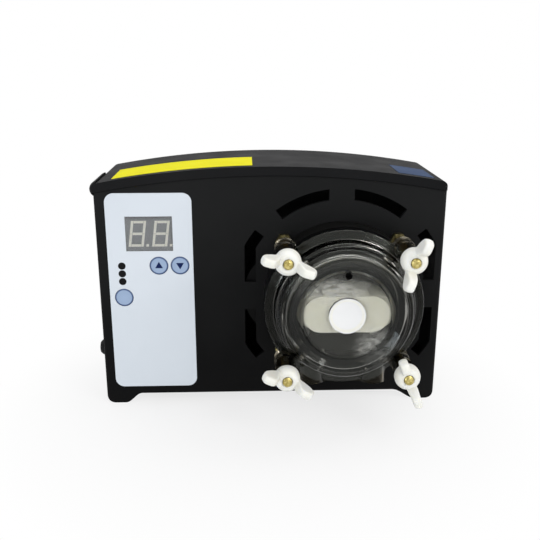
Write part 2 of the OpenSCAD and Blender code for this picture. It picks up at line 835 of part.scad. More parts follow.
// The straight way that each end of the tube takes down through its port.
module port_ways(r, top, y0) {
    for (s = [-1, 1]) translate([s * port_x, 0, -port_drop - 1]) {
        translate([0, -tube_h, 0]) cylinder(r = r, h = port_drop + 1 - top);
        translate([-r, -tube_h, 0]) cube([2 * r, y0 + tube_h, port_drop + 1 - top]);
    }
}

module stud_reliefs(y0, y1) {
    at_four(stud_at, stud_at) rod(hex_r + 0.7, y0, y1);
}

module head_base() {
    color([0.07, 0.07, 0.07]) placed() at_head() difference() {
        rod(flange_r - 0.4, -base_h, 0);
        rod(raceway_r, -base_h - 1, -base_floor);
        rod(shaft_r + 2.5 + fit, -base_h, 1);
        port_ways(port_bore_r, 20, -base_floor - 3);
        stud_reliefs(-base_h - 1, 1);
        at_four(base_screw_at, base_screw_at) {
            rod(base_screw_r + fit, -base_floor - 1, 1);
            rod(screw_head_r + fit, -base_floor - 1, -base_floor + 2);
        }
    }
}

module base_screws() {
    color([0.72, 0.72, 0.74]) placed() at_head() at_four(base_screw_at, base_screw_at)
        screw(base_screw_r, screw_head_r, 2, -base_floor, base_floor - 2 + wall + gearbox_wall + 3);
}

module shaft_bush() {
    color([0.72, 0.5, 0.25]) placed() at_head() difference() {
        union() {
            rod(shaft_r + 2.5, -base_floor, wall);
            rod(shaft_r + 4.5, -base_floor - 0.8, -base_floor);
        }
        rod(shaft_r + fit, -base_h, wall + 1);
    }
}

// The clear cover's outside: flange, coned drum, groove, raised ring and flat window.
cover_profile = [
    [0, base_h], [flange_r - 0.6, base_h], [flange_r, base_h + 0.6],
    [flange_r, base_h + flange_t - 0.8], [flange_r - 0.8, base_h + flange_t],
    [drum_r, base_h + flange_t], [shoulder_r + 0.5, shoulder_h - 0.5],
    [shoulder_r, shoulder_h], [ring_r + 0.1, shoulder_h], [ring_r, ring_h - 0.5],
    [ring_r - 0.5, ring_h], [ring_r - 3.5, ring_h], [window_r, window_h], [0, window_h]];

module head_cover() {
    color([0.85, 0.88, 0.9, 0.35]) placed() at_head() difference() {
        union() {
            turned(cover_profile);
            at_four(stud_at, stud_at) rod(ear_r, -ear_h, -base_h);
            for (s = [-1, 1]) translate([s * port_x, 0, -port_drop]) {
                translate([0, -tube_h, 0]) cylinder(r = port_r, h = port_drop - 26);
                block(-port_r, port_r, -tube_h, -base_h, 0, port_drop - 26);
            }
            block(-port_x, port_x, -base_h - flange_t, -base_h, -port_drop, -port_drop + 8);
        }
        rod(raceway_r, -chamber_h, -base_h + 1);
        rod(journal_r + 0.07, -window_h - 1, -chamber_h + 1);
        translate([0, 0, window_hole_z]) rod(window_hole_r, -window_h - 3, -chamber_h + 1);
        port_ways(port_bore_r, 20, -base_h + 1);
        at_four(stud_at, stud_at) rod(ear_hole_r, -ear_h - 1, 0);
        block(-flange_r, flange_r, -base_h, 0, -port_drop - 1, -20);
    }
}

// The tube's centre line in x and z, with the direction of travel and how far it is
// pressed flat: along the raceway, then bent into the straight way down the port.
bend_x = tube_mid * cos(leave_angle) - leave_bend_r * (1 - cos(leave_angle));
function tube_bend(t) = let (a = leave_angle * (1 - t))
    [bend_x + leave_bend_r * (1 - cos(a)), -tube_mid * sin(leave_angle)
        - leave_bend_r * (sin(leave_angle) - sin(a)), 1 - t];
tube_end_z = -tube_mid * sin(leave_angle) - leave_bend_r * sin(leave_angle);
port_shift = port_x - bend_x;
right_leg = [for (i = [1:8]) let (b = tube_bend(i / 8)) [b[0] + port_shift * i / 8, b[1], b[2]]];
right_half = concat(
    [for (i = [0:20]) let (a = 90 - (90 + leave_angle) * i / 20)
        [tube_mid * cos(a), tube_mid * sin(a), 1]],
    right_leg,
    [[port_x, (tube_end_z - nipple_top) / 2, 0], [port_x, -nipple_top, 0]]);
tube_line = concat([for (p = reversed(right_half)) [-p[0], p[1], p[2]]],
    [for (i = [1:len(right_half) - 1]) right_half[i]]);

function tube_ring(line, i, sides) =
    let (p = line[i],
         ahead = line[min(i + 1, len(line) - 1)] - line[max(i - 1, 0)],
         run = [ahead[0], ahead[1]] / norm([ahead[0], ahead[1]]),
         side = [-run[1], run[0]],
         flat = (tube_out - tube_in) / 2,
         a = flat * p[2] + tube_r * (1 - p[2]),
         round = min(1, 1.6 * (1 - p[2])),
         b = pressed_w * (1 - round) + tube_r * round)
    [for (k = [0:sides - 1]) let (u = 360 * k / sides)
        [p[0] + side[0] * a * cos(u), -tube_h + b * sin(u), p[1] + side[1] * a * cos(u)]];

// A closed skin over rings of equal size that follow each other along a line.
module swept(rings) {
    n = len(rings[0]);
    last = len(rings) - 1;
    polyhedron(
        points = [for (ring = rings) for (p = ring) p],
        faces = concat(
            [[for (k = [0:n - 1]) k]],
            [for (i = [0:last - 1], k = [0:n - 1]) [i * n + k, (i + 1) * n + k,
                (i + 1) * n + (k + 1) % n, i * n + (k + 1) % n]],
            [[for (k = [n - 1:-1:0]) last * n + k]]));
}

module squeeze_tube() {
    color([0.1, 0.1, 0.1]) placed() at_head()
        swept([for (i = [0:len(tube_line) - 1]) tube_ring(tube_line, i, 12)]);
}

module tube_nipples() {
    color([0.2, 0.2, 0.21]) placed() at_head() for (s = [-1, 1])
        translate([s * port_x, -tube_h, -port_drop]) difference() {
            cylinder(r = tube_r, h = nipple_len);
            translate([0, 0, -1]) cylinder(r = nipple_bore_r, h = nipple_len + 2);
        }
}

module studs() {
    rear = -wall - hex_t - 1.5;
    color([0.75, 0.6, 0.28]) placed() at_studs() turned([[0, rear], [stud_r, rear],
        [stud_r, stud_tip - stud_chamfer], [stud_r - stud_chamfer, stud_tip], [0, stud_tip]]);
}

module hex_nut(y0) {
    slab(y0, y0 + hex_t) difference() {
        circle(hex_r, $fn = 6);
        circle(stud_r + fit);
    }
}

module stud_nuts() {
    color([0.75, 0.6, 0.28]) placed() at_studs() hex_nut(-hex_t);
}

module stud_back_nuts() {
    color([0.75, 0.6, 0.28]) placed() at_studs() hex_nut(wall);
}

// A wing nut on its stud; turn is the angle of its wings above the horizontal.
module wing_nut(i, j, turn) {
    color([0.93, 0.92, 0.88]) placed() at_head()
        translate([i * stud_at, -ear_h, j * stud_at]) rotate([0, -turn, 0]) difference() {
            union() {
                turned(concat([[0, 0], [nut_r, 0]],
                    arc([nut_r - nut_dome_r, nut_len - nut_dome_r], nut_dome_r, 0, 90, 6),
                    [[0, nut_len]]));
                for (s = [-1, 1]) translate([0, 0, -nut_wing_t / 2]) linear_extrude(nut_wing_t)
                    bar_shape([s * (nut_r - 0.2), -nut_wing_r - 2],
                        [s * (nut_span - nut_wing_r), nut_wing_r - nut_h], nut_wing_r);
            }
            rod(stud_r + fit, -nut_h, 1);
        }
}

module wing_nut_top_left() {
    wing_nut(-1, 1, -17);
}

module wing_nut_top_right() {
    wing_nut(1, 1, 67.5);
}

module wing_nut_low_left() {
    wing_nut(-1, -1, -22);
}

module wing_nut_low_right() {
    wing_nut(1, -1, -72);
}

// ---------- Rotor ----------

module rotor() {
    rear = -rotor_rear;
    front = rear - rotor_d;
    color([0.9, 0.89, 0.83]) placed() at_head() difference() {
        union() {
            for (y = [front, rear - cheek_t]) slab(y, y + cheek_t)
                bar_shape([-cheek_end, 0], [cheek_end, 0], rotor_h / 2);
            difference() {
                block(-block_w / 2, block_w / 2, front + 0.5, rear - 0.5,
                    -rotor_h / 2, rotor_h / 2);
                for (s = [-1, 1]) translate([s * roller_at, 0, 0])
                    rod(roller_r + pocket, front + cheek_t, rear - cheek_t);
            }
            rod(journal_r, -window_h - 0.2, front + 0.5);
        }
        rod(shaft_r + 0.02, front + 7, 0);
        translate([0, rear - 8, 0]) cylinder(r = 1.6, h = rotor_h);
        for (s = [-1, 1]) translate([s * roller_at, 0, 0])
            rod(roller_pin_r + 0.01, front + 1, rear - 1);
    }
}

module rotor_set_screw() {
    color([0.3, 0.3, 0.32]) placed() at_head() translate([0, -rotor_rear - 8, shaft_r + 0.03])
        difference() {
            cylinder(r = 1.55, h = 4);
            translate([0, 0, 2.6]) cylinder(r = 0.8, h = 3, $fn = 6);
        }
}

module roller_pins() {
    color([0.75, 0.75, 0.77]) placed() at_head()
        for (s = [-1, 1]) translate([s * roller_at, 0, 0])
            rod(roller_pin_r, -rotor_rear - rotor_d + 1, -rotor_rear - 1);
}

module roller(s) {
    mid = -rotor_rear - rotor_d / 2;
    color([0.88, 0.88, 0.85]) placed() at_head() translate([s * roller_at, mid, 0])
        difference() {
            turned([[0, -roller_len / 2], [roller_r - 0.8, -roller_len / 2],
                [roller_r, 0.8 - roller_len / 2], [roller_r, roller_len / 2 - 0.8],
                [roller_r - 0.8, roller_len / 2], [0, roller_len / 2]]);
            rod(roller_pin_r + fit, -roller_len, roller_len);
        }
}

module roller_left() {
    roller(-1);
}

module roller_right() {
    roller(1);
}

// ---------- Gearmotor ----------

function inv(a) = tan(a) - a * PI / 180;

// Half of a tooth's angle at radius r, for involute flanks cut at 25 degrees.
function tooth_half(n, r) =
    let (pitch = gear_m * n / 2, base = pitch * cos(25), play = 0.07)
    90 / n - play / pitch * 180 / PI + (inv(25) - inv(acos(min(1, base / r)))) * 180 / PI;

// Front view of a gear whose first tooth points at angle turn.
module gear_shape(n, turn) {
    pitch = gear_m * n / 2;
    radii = [pitch - 1.2 * gear_m, max(pitch * cos(25), pitch - 0.9 * gear_m), pitch,
        pitch + 0.9 * gear_m];
    polygon([for (i = [0:n - 1]) let (a = turn + 360 * i / n)
        for (k = [0:7]) let (r = radii[k < 4 ? k : 7 - k], h = tooth_half(n, r))
            r * [cos(a + (k < 4 ? -h : h)), sin(a + (k < 4 ? -h : h))]]);
}

module output_shaft() {
    color([0.72, 0.72, 0.74]) placed() at_head()
        rod(shaft_r, -rotor_rear - rotor_d + 7.5, stage1_y + wheel_t + 0.4);
}

module output_wheel() {
    color([0.8, 0.7, 0.4]) placed() at_head() difference() {
        slab(stage1_y, stage1_y + wheel_t) gear_shape(wheel_n, 180);
        rod(shaft_r + 0.02, 0, body_d);
    }
}

module idler_gear() {
    color([0.85, 0.83, 0.75]) placed() at_head() translate([-gear_gap, 0, 0]) difference() {
        union() {
            slab(stage1_y - 0.3, stage2_y) gear_shape(pinion_n, 180 / pinion_n);
            slab(stage2_y, stage2_y + wheel_t) gear_shape(wheel_n, 0);
        }
        rod(idler_pin_r + fit, 0, body_d);
    }
}

module idler_pin() {
    color([0.75, 0.75, 0.77]) placed() at_head() translate([-gear_gap, 0, 0])
        rod(idler_pin_r, case_y0 + 1, case_y1 + 1.5);
}

module motor_pinion() {
    color([0.72, 0.72, 0.74]) placed() at_head() {
        slab(stage2_y - 0.4, stage2_y + wheel_t + 0.6)
            gear_shape(pinion_n, 180 + 180 / pinion_n);
        rod(motor_shaft_r, stage2_y + wheel_t, lid_y1 + 8);
    }
}

// Front view of the gearbox: the two wheels' circles and what joins them.
module case_shape(r) {
    translate([-gear_gap, 0]) circle(r);
    circle(r);
    translate([-gear_gap, -r]) square([gear_gap, 2 * r]);
}

module gearbox_case() {
    color([0.62, 0.63, 0.65]) placed() at_head() difference() {
        union() {
            slab(case_y0, case_y1) case_shape(case_r);
            slab(case_y0, case_y0 + gearbox_wall) square(2 * case_ear, center = true);
            at_four(base_screw_at, base_screw_at) rod(3.4, case_y0, case_y0 + gearbox_wall + 1.2);
            lid_screw_places() rod(3.2, case_y0 + 6, case_y1);
        }
        slab(case_y0 + gearbox_wall, case_y1 + 1) difference() {
            case_shape(case_r - gearbox_wall);
            for (i = [-1, 1], j = [-1, 1])
                translate([i * base_screw_at, j * base_screw_at]) circle(3.4);
        }
        slab(case_y0 + gearbox_wall + 1.2, case_y1 + 1) case_shape(case_r - gearbox_wall);
        rod(shaft_r + slack, 0, body_d);
        translate([-gear_gap, 0, 0]) rod(idler_pin_r + 0.01, case_y0 + 1, body_d);
        at_four(base_screw_at, base_screw_at)
            rod(base_screw_r + fit, 0, case_y0 + gearbox_wall + 3.2);
        lid_screw_places() rod(screw_hole_r, case_y1 - 8, case_y1 + 1);
    }
}

// The four ears of the gearbox, outside its wall.
module lid_screw_places() {
    for (s = [-1, 1]) translate([-gear_gap / 2, 0, s * lid_screw_at]) children();
    translate([lid_screw_at, 0, 0]) children();
    translate([-gear_gap - lid_screw_at, 0, 0]) children();
}

module gearbox_lid() {
    color([0.6, 0.61, 0.63]) placed() at_head() difference() {
        union() {
            slab(case_y1, lid_y1) case_shape(case_r);
            lid_screw_places() rod(3.2, case_y1, lid_y1);
        }
        rod(motor_shaft_r + slack, 0, body_d);
        translate([-gear_gap, 0, 0]) rod(idler_pin_r + 0.01, case_y1 - 1, case_y1 + 1.5);
        lid_screw_places() rod(screw_r + slack, case_y1 - 1, lid_y1 + 1);
        at_four(motor_r * 0.6, motor_r * 0.6) rod(screw_hole_r, case_y1 + 0.5, lid_y1 + 1);
    }
}

module gearbox_screws() {
    color([0.75, 0.75, 0.77]) placed() at_head() lid_screw_places()
        translate([0, lid_y1 + 1.4, 0]) rotate([0, 0, 180])
            screw(screw_r, 2.2, 1.4, 0, gearbox_wall + 6);
}

module motor() {
    color([0.7, 0.7, 0.72]) placed() at_head() difference() {
        union() {
            rod(motor_r, lid_y1, lid_y1 + motor_len - 2);
            rod(motor_r - 2, lid_y1 + motor_len - 2, lid_y1 + motor_len);
        }
        rod(motor_shaft_r + fit, 0, lid_y1 + 8.5);
        at_four(motor_r * 0.6, motor_r * 0.6) rod(screw_r + slack, 0, body_d);
    }
}

module motor_screws() {
    color([0.75, 0.75, 0.77]) placed() at_head() at_four(motor_r * 0.6, motor_r * 0.6)
        translate([0, lid_y1 + motor_len + 1.4, 0]) rotate([0, 0, 180])
            screw(screw_r, 2.2, 1.4, 0, motor_len + gearbox_wall - 1);
}

front_panel();
housing_tray();
hood();
wall_plate();
shell_screws();
cord_gland();
gland_nut();
colour_strip();
small_sticker();
overlay();
display_window();
display_module();
display_segments();
indicator_windows();
indicator_lamps();
up_button();
down_button();
mode_button();
key_switches();
control_board();
board_screws();
transformer();
terminal_block();
capacitors();
head_base();
base_screws();
shaft_bush();
head_cover();
squeeze_tube();
tube_nipples();
studs();
stud_nuts();
stud_back_nuts();
wing_nut_top_left();
wing_nut_top_right();
wing_nut_low_left();
wing_nut_low_right();
rotor();
rotor_set_screw();
roller_pins();
roller_left();
roller_right();
output_shaft();
output_wheel();
idler_gear();
idler_pin();
motor_pinion();
gearbox_case();
gearbox_lid();
gearbox_screws();
motor();
motor_screws();
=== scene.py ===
"""Peristaltic dosing pump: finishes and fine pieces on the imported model, in metres."""
import json
import math

import bmesh
import bpy
import numpy as np
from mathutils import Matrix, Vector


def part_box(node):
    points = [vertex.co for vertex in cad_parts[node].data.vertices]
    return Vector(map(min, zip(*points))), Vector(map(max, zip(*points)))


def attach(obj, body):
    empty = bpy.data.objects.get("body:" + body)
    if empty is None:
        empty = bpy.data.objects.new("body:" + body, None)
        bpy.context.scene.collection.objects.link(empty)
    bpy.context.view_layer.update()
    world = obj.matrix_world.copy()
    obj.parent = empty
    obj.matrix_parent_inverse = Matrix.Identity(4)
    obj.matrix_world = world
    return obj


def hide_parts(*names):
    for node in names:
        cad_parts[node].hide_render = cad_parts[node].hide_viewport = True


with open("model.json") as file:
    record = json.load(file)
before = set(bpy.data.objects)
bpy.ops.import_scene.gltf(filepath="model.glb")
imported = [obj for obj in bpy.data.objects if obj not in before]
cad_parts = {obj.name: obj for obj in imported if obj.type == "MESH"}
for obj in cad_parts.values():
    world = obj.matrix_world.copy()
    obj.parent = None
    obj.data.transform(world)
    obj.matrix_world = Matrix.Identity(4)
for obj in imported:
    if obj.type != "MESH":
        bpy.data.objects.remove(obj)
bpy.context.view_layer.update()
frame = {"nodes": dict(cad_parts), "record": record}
nodes = frame["nodes"]
home = {node: body for body, names in frame["record"]["behaviour"]["bodies"].items()
        for node in names}
slot_of = {part["node"]: part["material_slot"] for part in frame["record"]["subparts"]}
TURN = 2 * math.pi


# ---------- Places taken from the frame ----------

def corners(node):
    """Lowest and highest corner of a node as numpy arrays."""
    low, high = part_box(node)
    return np.array(low), np.array(high)


def middle(node):
    """Middle of a node's box."""
    low, high = corners(node)
    return (low + high) / 2


base_low, base_high = corners("head_base")
cover_low = corners("head_cover")[0]
plate_low, plate_high = corners("wall_plate")
stud_low, stud_high = corners("studs")
nipple_low, nipple_high = corners("tube_nipples")
tube_high = corners("squeeze_tube")[1]

panel_y = base_high[1]
middle_x = (plate_low[0] + plate_high[0]) / 2
head_x = (base_low[0] + base_high[0]) / 2
head_z = base_high[2] - (base_high[0] - base_low[0]) / 2
head = np.array([head_x, panel_y, head_z])
base_front = panel_y - base_low[1]

nut_turn = {"wing_nut_top_left": -17, "wing_nut_top_right": 69.5, "wing_nut_low_left": -24,
            "wing_nut_low_right": -69}
stud_at = {nut: middle(nut) for nut in nut_turn}
nut_low, nut_high = corners("wing_nut_top_left")
nut_height = nut_high[1] - nut_low[1]
ear_front = panel_y - nut_high[1]
stud_r = stud_high[0] - stud_at["wing_nut_top_right"][0]
tube_r = (nipple_high[1] - nipple_low[1]) / 2
tube_y = middle("tube_nipples")[1]
port_x = nipple_high[0] - head_x - tube_r


# ---------- Surfaces worked out as whole arrays ----------

def grid_faces(rows, columns, wrap_rows):
    """Four corner numbers of each face of a grid of points, row by row. Each row is a ring, and
    the last row meets the first where wrap_rows is set."""
    i = np.arange(rows if wrap_rows else rows - 1)[:, None]
    j = np.arange(columns)[None, :]
    right = (j + 1) % columns
    down = (i + 1) % rows
    quads = np.stack([i * columns + j, i * columns + right, down * columns + right,
                      down * columns + j], axis=-1)
    return quads.reshape(-1, 4)


def mesh_from(name, points, faces):
    """A mesh from an array of points and an array of four-cornered faces."""
    mesh = bpy.data.meshes.new(name)
    mesh.vertices.add(len(points))
    mesh.vertices.foreach_set("co", points.ravel())
    mesh.loops.add(faces.size)
    mesh.loops.foreach_set("vertex_index", faces.ravel())
    mesh.polygons.add(len(faces))
    mesh.polygons.foreach_set("loop_start", np.arange(len(faces)) * 4)
    mesh.update(calc_edges=True)
    return mesh


def settle(mesh, merge=0.000001):
    """Closes the seams and poles of a mesh by merging points that are this close, and turns its
    faces outwards."""
    work = bmesh.new()
    work.from_mesh(mesh)
    bmesh.ops.remove_doubles(work, verts=work.verts, dist=merge)
    bmesh.ops.dissolve_degenerate(work, edges=work.edges, dist=merge)
    bmesh.ops.recalc_face_normals(work, faces=work.faces)
    work.to_mesh(mesh)
    work.free()


def shade(mesh, sharp=35):
    """Smooth shading with a crease wherever two faces meet at more than the sharp angle."""
    mesh.shade_smooth()
    mesh.set_sharp_from_angle(angle=math.radians(sharp))


def even_shading(piece, sharp):
    """Smooth shading in which the large faces stay flat and the rounded edges take the turn."""
    shade(piece.data, sharp)
    weigh = piece.modifiers.new("flat", "WEIGHTED_NORMAL")
    weigh.keep_sharp = True
    weigh.weight = 100
    baked(piece)


def thing(name, mesh):
    """An object that shows a mesh, at the origin."""
    piece = bpy.data.objects.new(name, mesh)
    bpy.context.collection.objects.link(piece)
    return piece


def surface(name, points, wrap_rows=False, caps=False):
    """A mesh over a grid of points whose rows are rings; caps close its first and last rows
    with a fan of faces."""
    points = np.asarray(points, float)
    if caps:
        first = 0 * points[:1] + points[:1].mean(axis=1, keepdims=True)
        last = 0 * points[-1:] + points[-1:].mean(axis=1, keepdims=True)
        points = np.concatenate([first, points, last])
    faces = grid_faces(points.shape[0], points.shape[1], wrap_rows)
    mesh = mesh_from(name, points.reshape(-1, 3), faces)
    settle(mesh)
    shade(mesh)
    return mesh


def eased(corner_points, reach, steps=5, closed=False):
    """A polyline whose corners are rounded: each corner becomes the quadratic curve that leaves
    the side before it and meets the side after it at the given reach from the corner, or just
    short of the side's middle."""
    longest = 0.49
    same_point = 0.000002
    p = np.asarray(corner_points, float)
    before = np.roll(p, 1, axis=0) - p
    after = np.roll(p, -1, axis=0) - p
    size_before = np.linalg.norm(before, axis=1, keepdims=True)
    size_after = np.linalg.norm(after, axis=1, keepdims=True)
    reach = np.array(np.broadcast_to(np.asarray(reach, float), (len(p),)))[:, None]
    if not closed:
        reach[0] = 0
        reach[-1] = 0
    start = p + before / size_before * np.minimum(reach, size_before * longest)
    end = p + after / size_after * np.minimum(reach, size_after * longest)
    t = np.linspace(0, 1, steps)[None, :, None]
    curve = (1 - t) ** 2 * start[:, None] + 2 * t * (1 - t) * p[:, None] + t ** 2 * end[:, None]
    points = curve.reshape(-1, 2)
    keep = np.ones(len(points), bool)
    keep[1:] = np.linalg.norm(np.diff(points, axis=0), axis=1) > same_point
    return points[keep]


def turned(name, profile, centre, steps=128, closed=False, along="y"):
    """A profile of radius and distance towards the front, turned round an axis along y: the
    point at angle a is centre + (r cos a, -d, r sin a). Along x it is (-d, r cos a, r sin a)."""
    profile = np.asarray(profile, float)
    a = np.linspace(0, TURN, steps, endpoint=False)[None, :]
    r = profile[:, :1]
    d = profile[:, 1:] + 0 * a
    across = (r * np.cos(a), -d) if along == "y" else (-d, r * np.cos(a))
    points = np.stack([*across, r * np.sin(a)], axis=-1)
    return surface(name, points + np.asarray(centre, float), wrap_rows=closed)


def prism(name, outline, low, high, along):
    """A closed outline carried straight from low to high along y or z, with both ends closed."""
    outline = np.asarray(outline, float)
    level = np.array([low, high])[:, None] + 0 * outline[None, :, 0]
    a = outline[None, :, 0] + 0 * level
    b = outline[None, :, 1] + 0 * level
    order = (a, level, b) if along == "y" else (a, b, level)
    return surface(name, np.stack(order, axis=-1), caps=True)


def arc(centre, radius, start, end, steps):
    """Points on an arc in a plane, from a start angle to an end angle in degrees."""
    a = np.radians(np.linspace(start, end, steps))
    return np.stack([centre[0] + radius * np.cos(a), centre[1] + radius * np.sin(a)], axis=-1)


def joined(name, meshes):
    """One mesh that holds several meshes side by side."""
    work = bmesh.new()
    for mesh in meshes:
        work.from_mesh(mesh)
    whole = bpy.data.meshes.new(name)
    work.to_mesh(whole)
    work.free()
    return whole


def baked(piece):
    """Replaces a piece's mesh by what its modifiers make of it."""
    view = bpy.context.evaluated_depsgraph_get()
    mesh = bpy.data.meshes.new_from_object(piece.evaluated_get(view))
    piece.modifiers.clear()
    piece.data = mesh


def carved(piece, operation, tool):
    """Joins a tool mesh to a piece or cuts it away, as closed solids."""
    other = thing("tool", tool)
    change = piece.modifiers.new("solid", "BOOLEAN")
    change.operation = operation
    change.solver = "MANIFOLD"
    change.object = other
    baked(piece)
    bpy.data.objects.remove(other)


def places(mesh):
    """Middles of a mesh's faces as an array."""
    centres = np.empty(len(mesh.polygons) * 3)
    mesh.polygons.foreach_get("center", centres)
    return centres.reshape(-1, 3)


# ---------- Materials ----------

class Finish:
    """One procedural material: a Principled shader and the nodes that feed it."""

    def __init__(self, name, colour, roughness, metallic=0.0, specular=0.5):
        """Starts from one even colour and polish over the whole piece."""
        self.material = bpy.data.materials.new(name)
        self.material.use_nodes = True
        self.tree = self.material.node_tree
        self.shader = self.tree.nodes["Principled BSDF"]
        self.shader.inputs["Base Color"].default_value = (*colour, 1)
        self.shader.inputs["Roughness"].default_value = roughness
        self.shader.inputs["Metallic"].default_value = metallic
        self.shader.inputs["Specular IOR Level"].default_value = specular
        self.place = self.tree.nodes.new("ShaderNodeTexCoord").outputs["Object"]

    def feed(self, socket, value):
        """Links a socket to another node's output, or sets it to a value."""
        if isinstance(value, bpy.types.NodeSocket):
            self.tree.links.new(value, socket)
        elif hasattr(value, "__len__") and len(value) == 3 and len(socket.default_value) == 4:
            socket.default_value = (*value, 1)
        else:
            socket.default_value = value

    def noise(self, scale, detail=2.0, place=None):
        """Smooth random value from 0 to 1 with this many features a metre."""
        node = self.tree.nodes.new("ShaderNodeTexNoise")
        node.inputs["Scale"].default_value = scale
        node.inputs["Detail"].default_value = detail
        self.feed(node.inputs["Vector"], place or self.place)
        return node.outputs["Fac"]

    def span(self, value, low, high, from_low=0.3, from_high=0.7):
        """A value carried from one range to another and held at its ends."""
        node = self.tree.nodes.new("ShaderNodeMapRange")
        for key, number in (("From Min", from_low), ("From Max", from_high),
                            ("To Min", low), ("To Max", high)):
            node.inputs[key].default_value = number
        self.feed(node.inputs["Value"], value)
        return node.outputs["Result"]

    def blend(self, share, first, second):
        """Colour mixed from first to second by share."""
        node = self.tree.nodes.new("ShaderNodeMix")
        node.data_type = "RGBA"
        self.feed(node.inputs["Factor"], share)
        self.feed(node.inputs[6], first)
        self.feed(node.inputs[7], second)
        return node.outputs[2]

    def math(self, operation, first, second=0.0):
        """Arithmetic on one or two values."""
        node = self.tree.nodes.new("ShaderNodeMath")
        node.operation = operation
        self.feed(node.inputs[0], first)
        self.feed(node.inputs[1], second)
        return node.outputs[0]

    def placed(self, centre=(0, 0, 0), scale=(1, 1, 1)):
        """Object coordinates from a centre, stretched by a scale."""
        node = self.tree.nodes.new("ShaderNodeMapping")
        node.inputs["Scale"].default_value = scale
        node.inputs["Location"].default_value = [-c * s for c, s in zip(centre, scale)]
        self.feed(node.inputs["Vector"], self.place)
        return node.outputs["Vector"]

    def distance(self, centre, scale=(1, 1, 1)):
        """Distance from a centre, in metres, with each axis weighted by scale."""
        node = self.tree.nodes.new("ShaderNodeVectorMath")
        node.operation = "LENGTH"
        self.feed(node.inputs[0], self.placed(centre, scale))
        return node.outputs["Value"]

    def axis(self, letter):
        """Position along one axis in metres."""
        node = self.tree.nodes.new("ShaderNodeSeparateXYZ")
        self.feed(node.inputs[0], self.place)
        return node.outputs[letter]

    def tint(self, colour):
        """Sets or links the base colour."""
        self.feed(self.shader.inputs["Base Color"], colour)

    def vary(self, colour, other, scale):
        """Base colour drifting between two tones in soft patches."""
        self.tint(self.blend(self.span(self.noise(scale), 0, 1, 0.35, 0.65), colour, other))

    def wear(self, scale, smooth, rough):
        """Roughness drifting between two values in patches."""
        self.feed(self.shader.inputs["Roughness"], self.span(self.noise(scale, 3), smooth, rough))

    def bump(self, height, depth):
        """Bump of this depth in metres from a height value, on top of any bump before it."""
        node = self.tree.nodes.new("ShaderNodeBump")
        node.inputs["Distance"].default_value = depth
        self.feed(node.inputs["Height"], height)
        normal = self.shader.inputs["Normal"]
        if normal.is_linked:
            self.feed(node.inputs["Normal"], normal.links[0].from_socket)
        self.feed(normal, node.outputs["Normal"])


def moulded(name, colour, other, roughness, grain=2600, depth=0.00004, specular=0.5):
    """Moulded plastic: a fine spark-eroded grain, patchy gloss and a soft drift of tone."""
    finish = Finish(name, colour, roughness, specular=specular)
    finish.vary(colour, other, 14)
    finish.wear(45, roughness - 0.05, roughness + 0.06)
    finish.bump(finish.noise(grain, 2), depth)
    return finish.material


def grained_panel():
    """Black grained panel, painted greyer towards its top and its right as painted light."""
    unlit_black = (0.0014, 0.0014, 0.0015)
    painted_light_grey = (0.0098, 0.0101, 0.0103)
    finish = Finish("black grained panel", (0.005, 0.005, 0.0052), 0.6, specular=0.08)
    # Painted light: lighter towards the top and the right, where the light falls, with a random
    # drift of tone.
    up = finish.span(finish.axis("Z"), 0, 0.85, 0.02, 0.115)
    across = finish.span(finish.axis("X"), 0, 0.3, head_x, plate_high[0])
    drift = finish.span(finish.noise(16, 3), -0.12, 0.12)
    share = finish.math("ADD", finish.math("ADD", up, across), drift)
    finish.tint(finish.blend(share, unlit_black, painted_light_grey))
    finish.wear(45, 0.55, 0.66)
    finish.bump(finish.noise(2600, 2), 0.00004)
    return finish.material


def smooth_plastic(name, colour, roughness, other=None, specular=0.5):
    """Glossy moulding with a faint waviness of the surface."""
    finish = Finish(name, colour, roughness, specular=specular)
    if other:
        finish.vary(colour, other, 60)
    finish.wear(120, max(0.02, roughness - 0.04), roughness + 0.05)
    finish.bump(finish.noise(420, 1), 0.00002)
    return finish.material


def metal(name, colour, roughness, stretch=(1, 1, 1)):
    """Turned or drawn metal: fine lines along one direction and a patchy polish."""
    finish = Finish(name, colour, roughness, metallic=1.0)
    finish.bump(finish.noise(900, 2, finish.placed(scale=stretch)), 0.000012)
    finish.wear(220, max(0.05, roughness - 0.08), roughness + 0.1)
    return finish.material


def clear_plastic(name, tint, roughness):
    """Clear plastic that bends light, with a faint handling haze in patches."""
    finish = Finish(name, tint, roughness)
    finish.shader.inputs["Transmission Weight"].default_value = 1.0
    finish.shader.inputs["IOR"].default_value = 1.5
    finish.wear(90, roughness, roughness + 0.04)
    finish.bump(finish.noise(160, 1), 0.00001)
    return finish.material


def nylon(name, colour, shaded):
    """Off-white nylon that lets a little light into its thickness."""
    finish = Finish(name, colour, 0.42, specular=0.2)
    finish.vary(colour, shaded, 90)
    finish.wear(150, 0.34, 0.46)
    finish.shader.inputs["Subsurface Weight"].default_value = 0.4
    finish.shader.inputs["Subsurface Radius"].default_value = (0.002, 0.0019, 0.0016)
    finish.shader.inputs["Subsurface Scale"].default_value = 1.0
    finish.bump(finish.noise(700, 2), 0.00003)
    return finish.material


def turned_brass():
    """Turned brass with darker, duller patches of tarnish, painted dark brown behind the nuts'
    faces as the shade inside the ears.
    """
    finish = Finish("turned brass", (0.62, 0.5, 0.17), 0.3, metallic=1.0)
    patches = finish.span(finish.noise(900, 4), 0, 1, 0.38, 0.62)
    bright = finish.blend(patches, (0.36, 0.285, 0.08), (0.66, 0.56, 0.23))
    # Painted shade: the thread behind the nuts' faces turns dark brown.
    behind = finish.span(finish.axis("Y"), 0, 1, nut_high[1] - 0.0015, nut_high[1])
    finish.tint(finish.blend(behind, bright, (0.13, 0.105, 0.045)))
    finish.wear(700, 0.22, 0.45)
    finish.bump(finish.noise(2200, 2), 0.00006)
    return finish.material


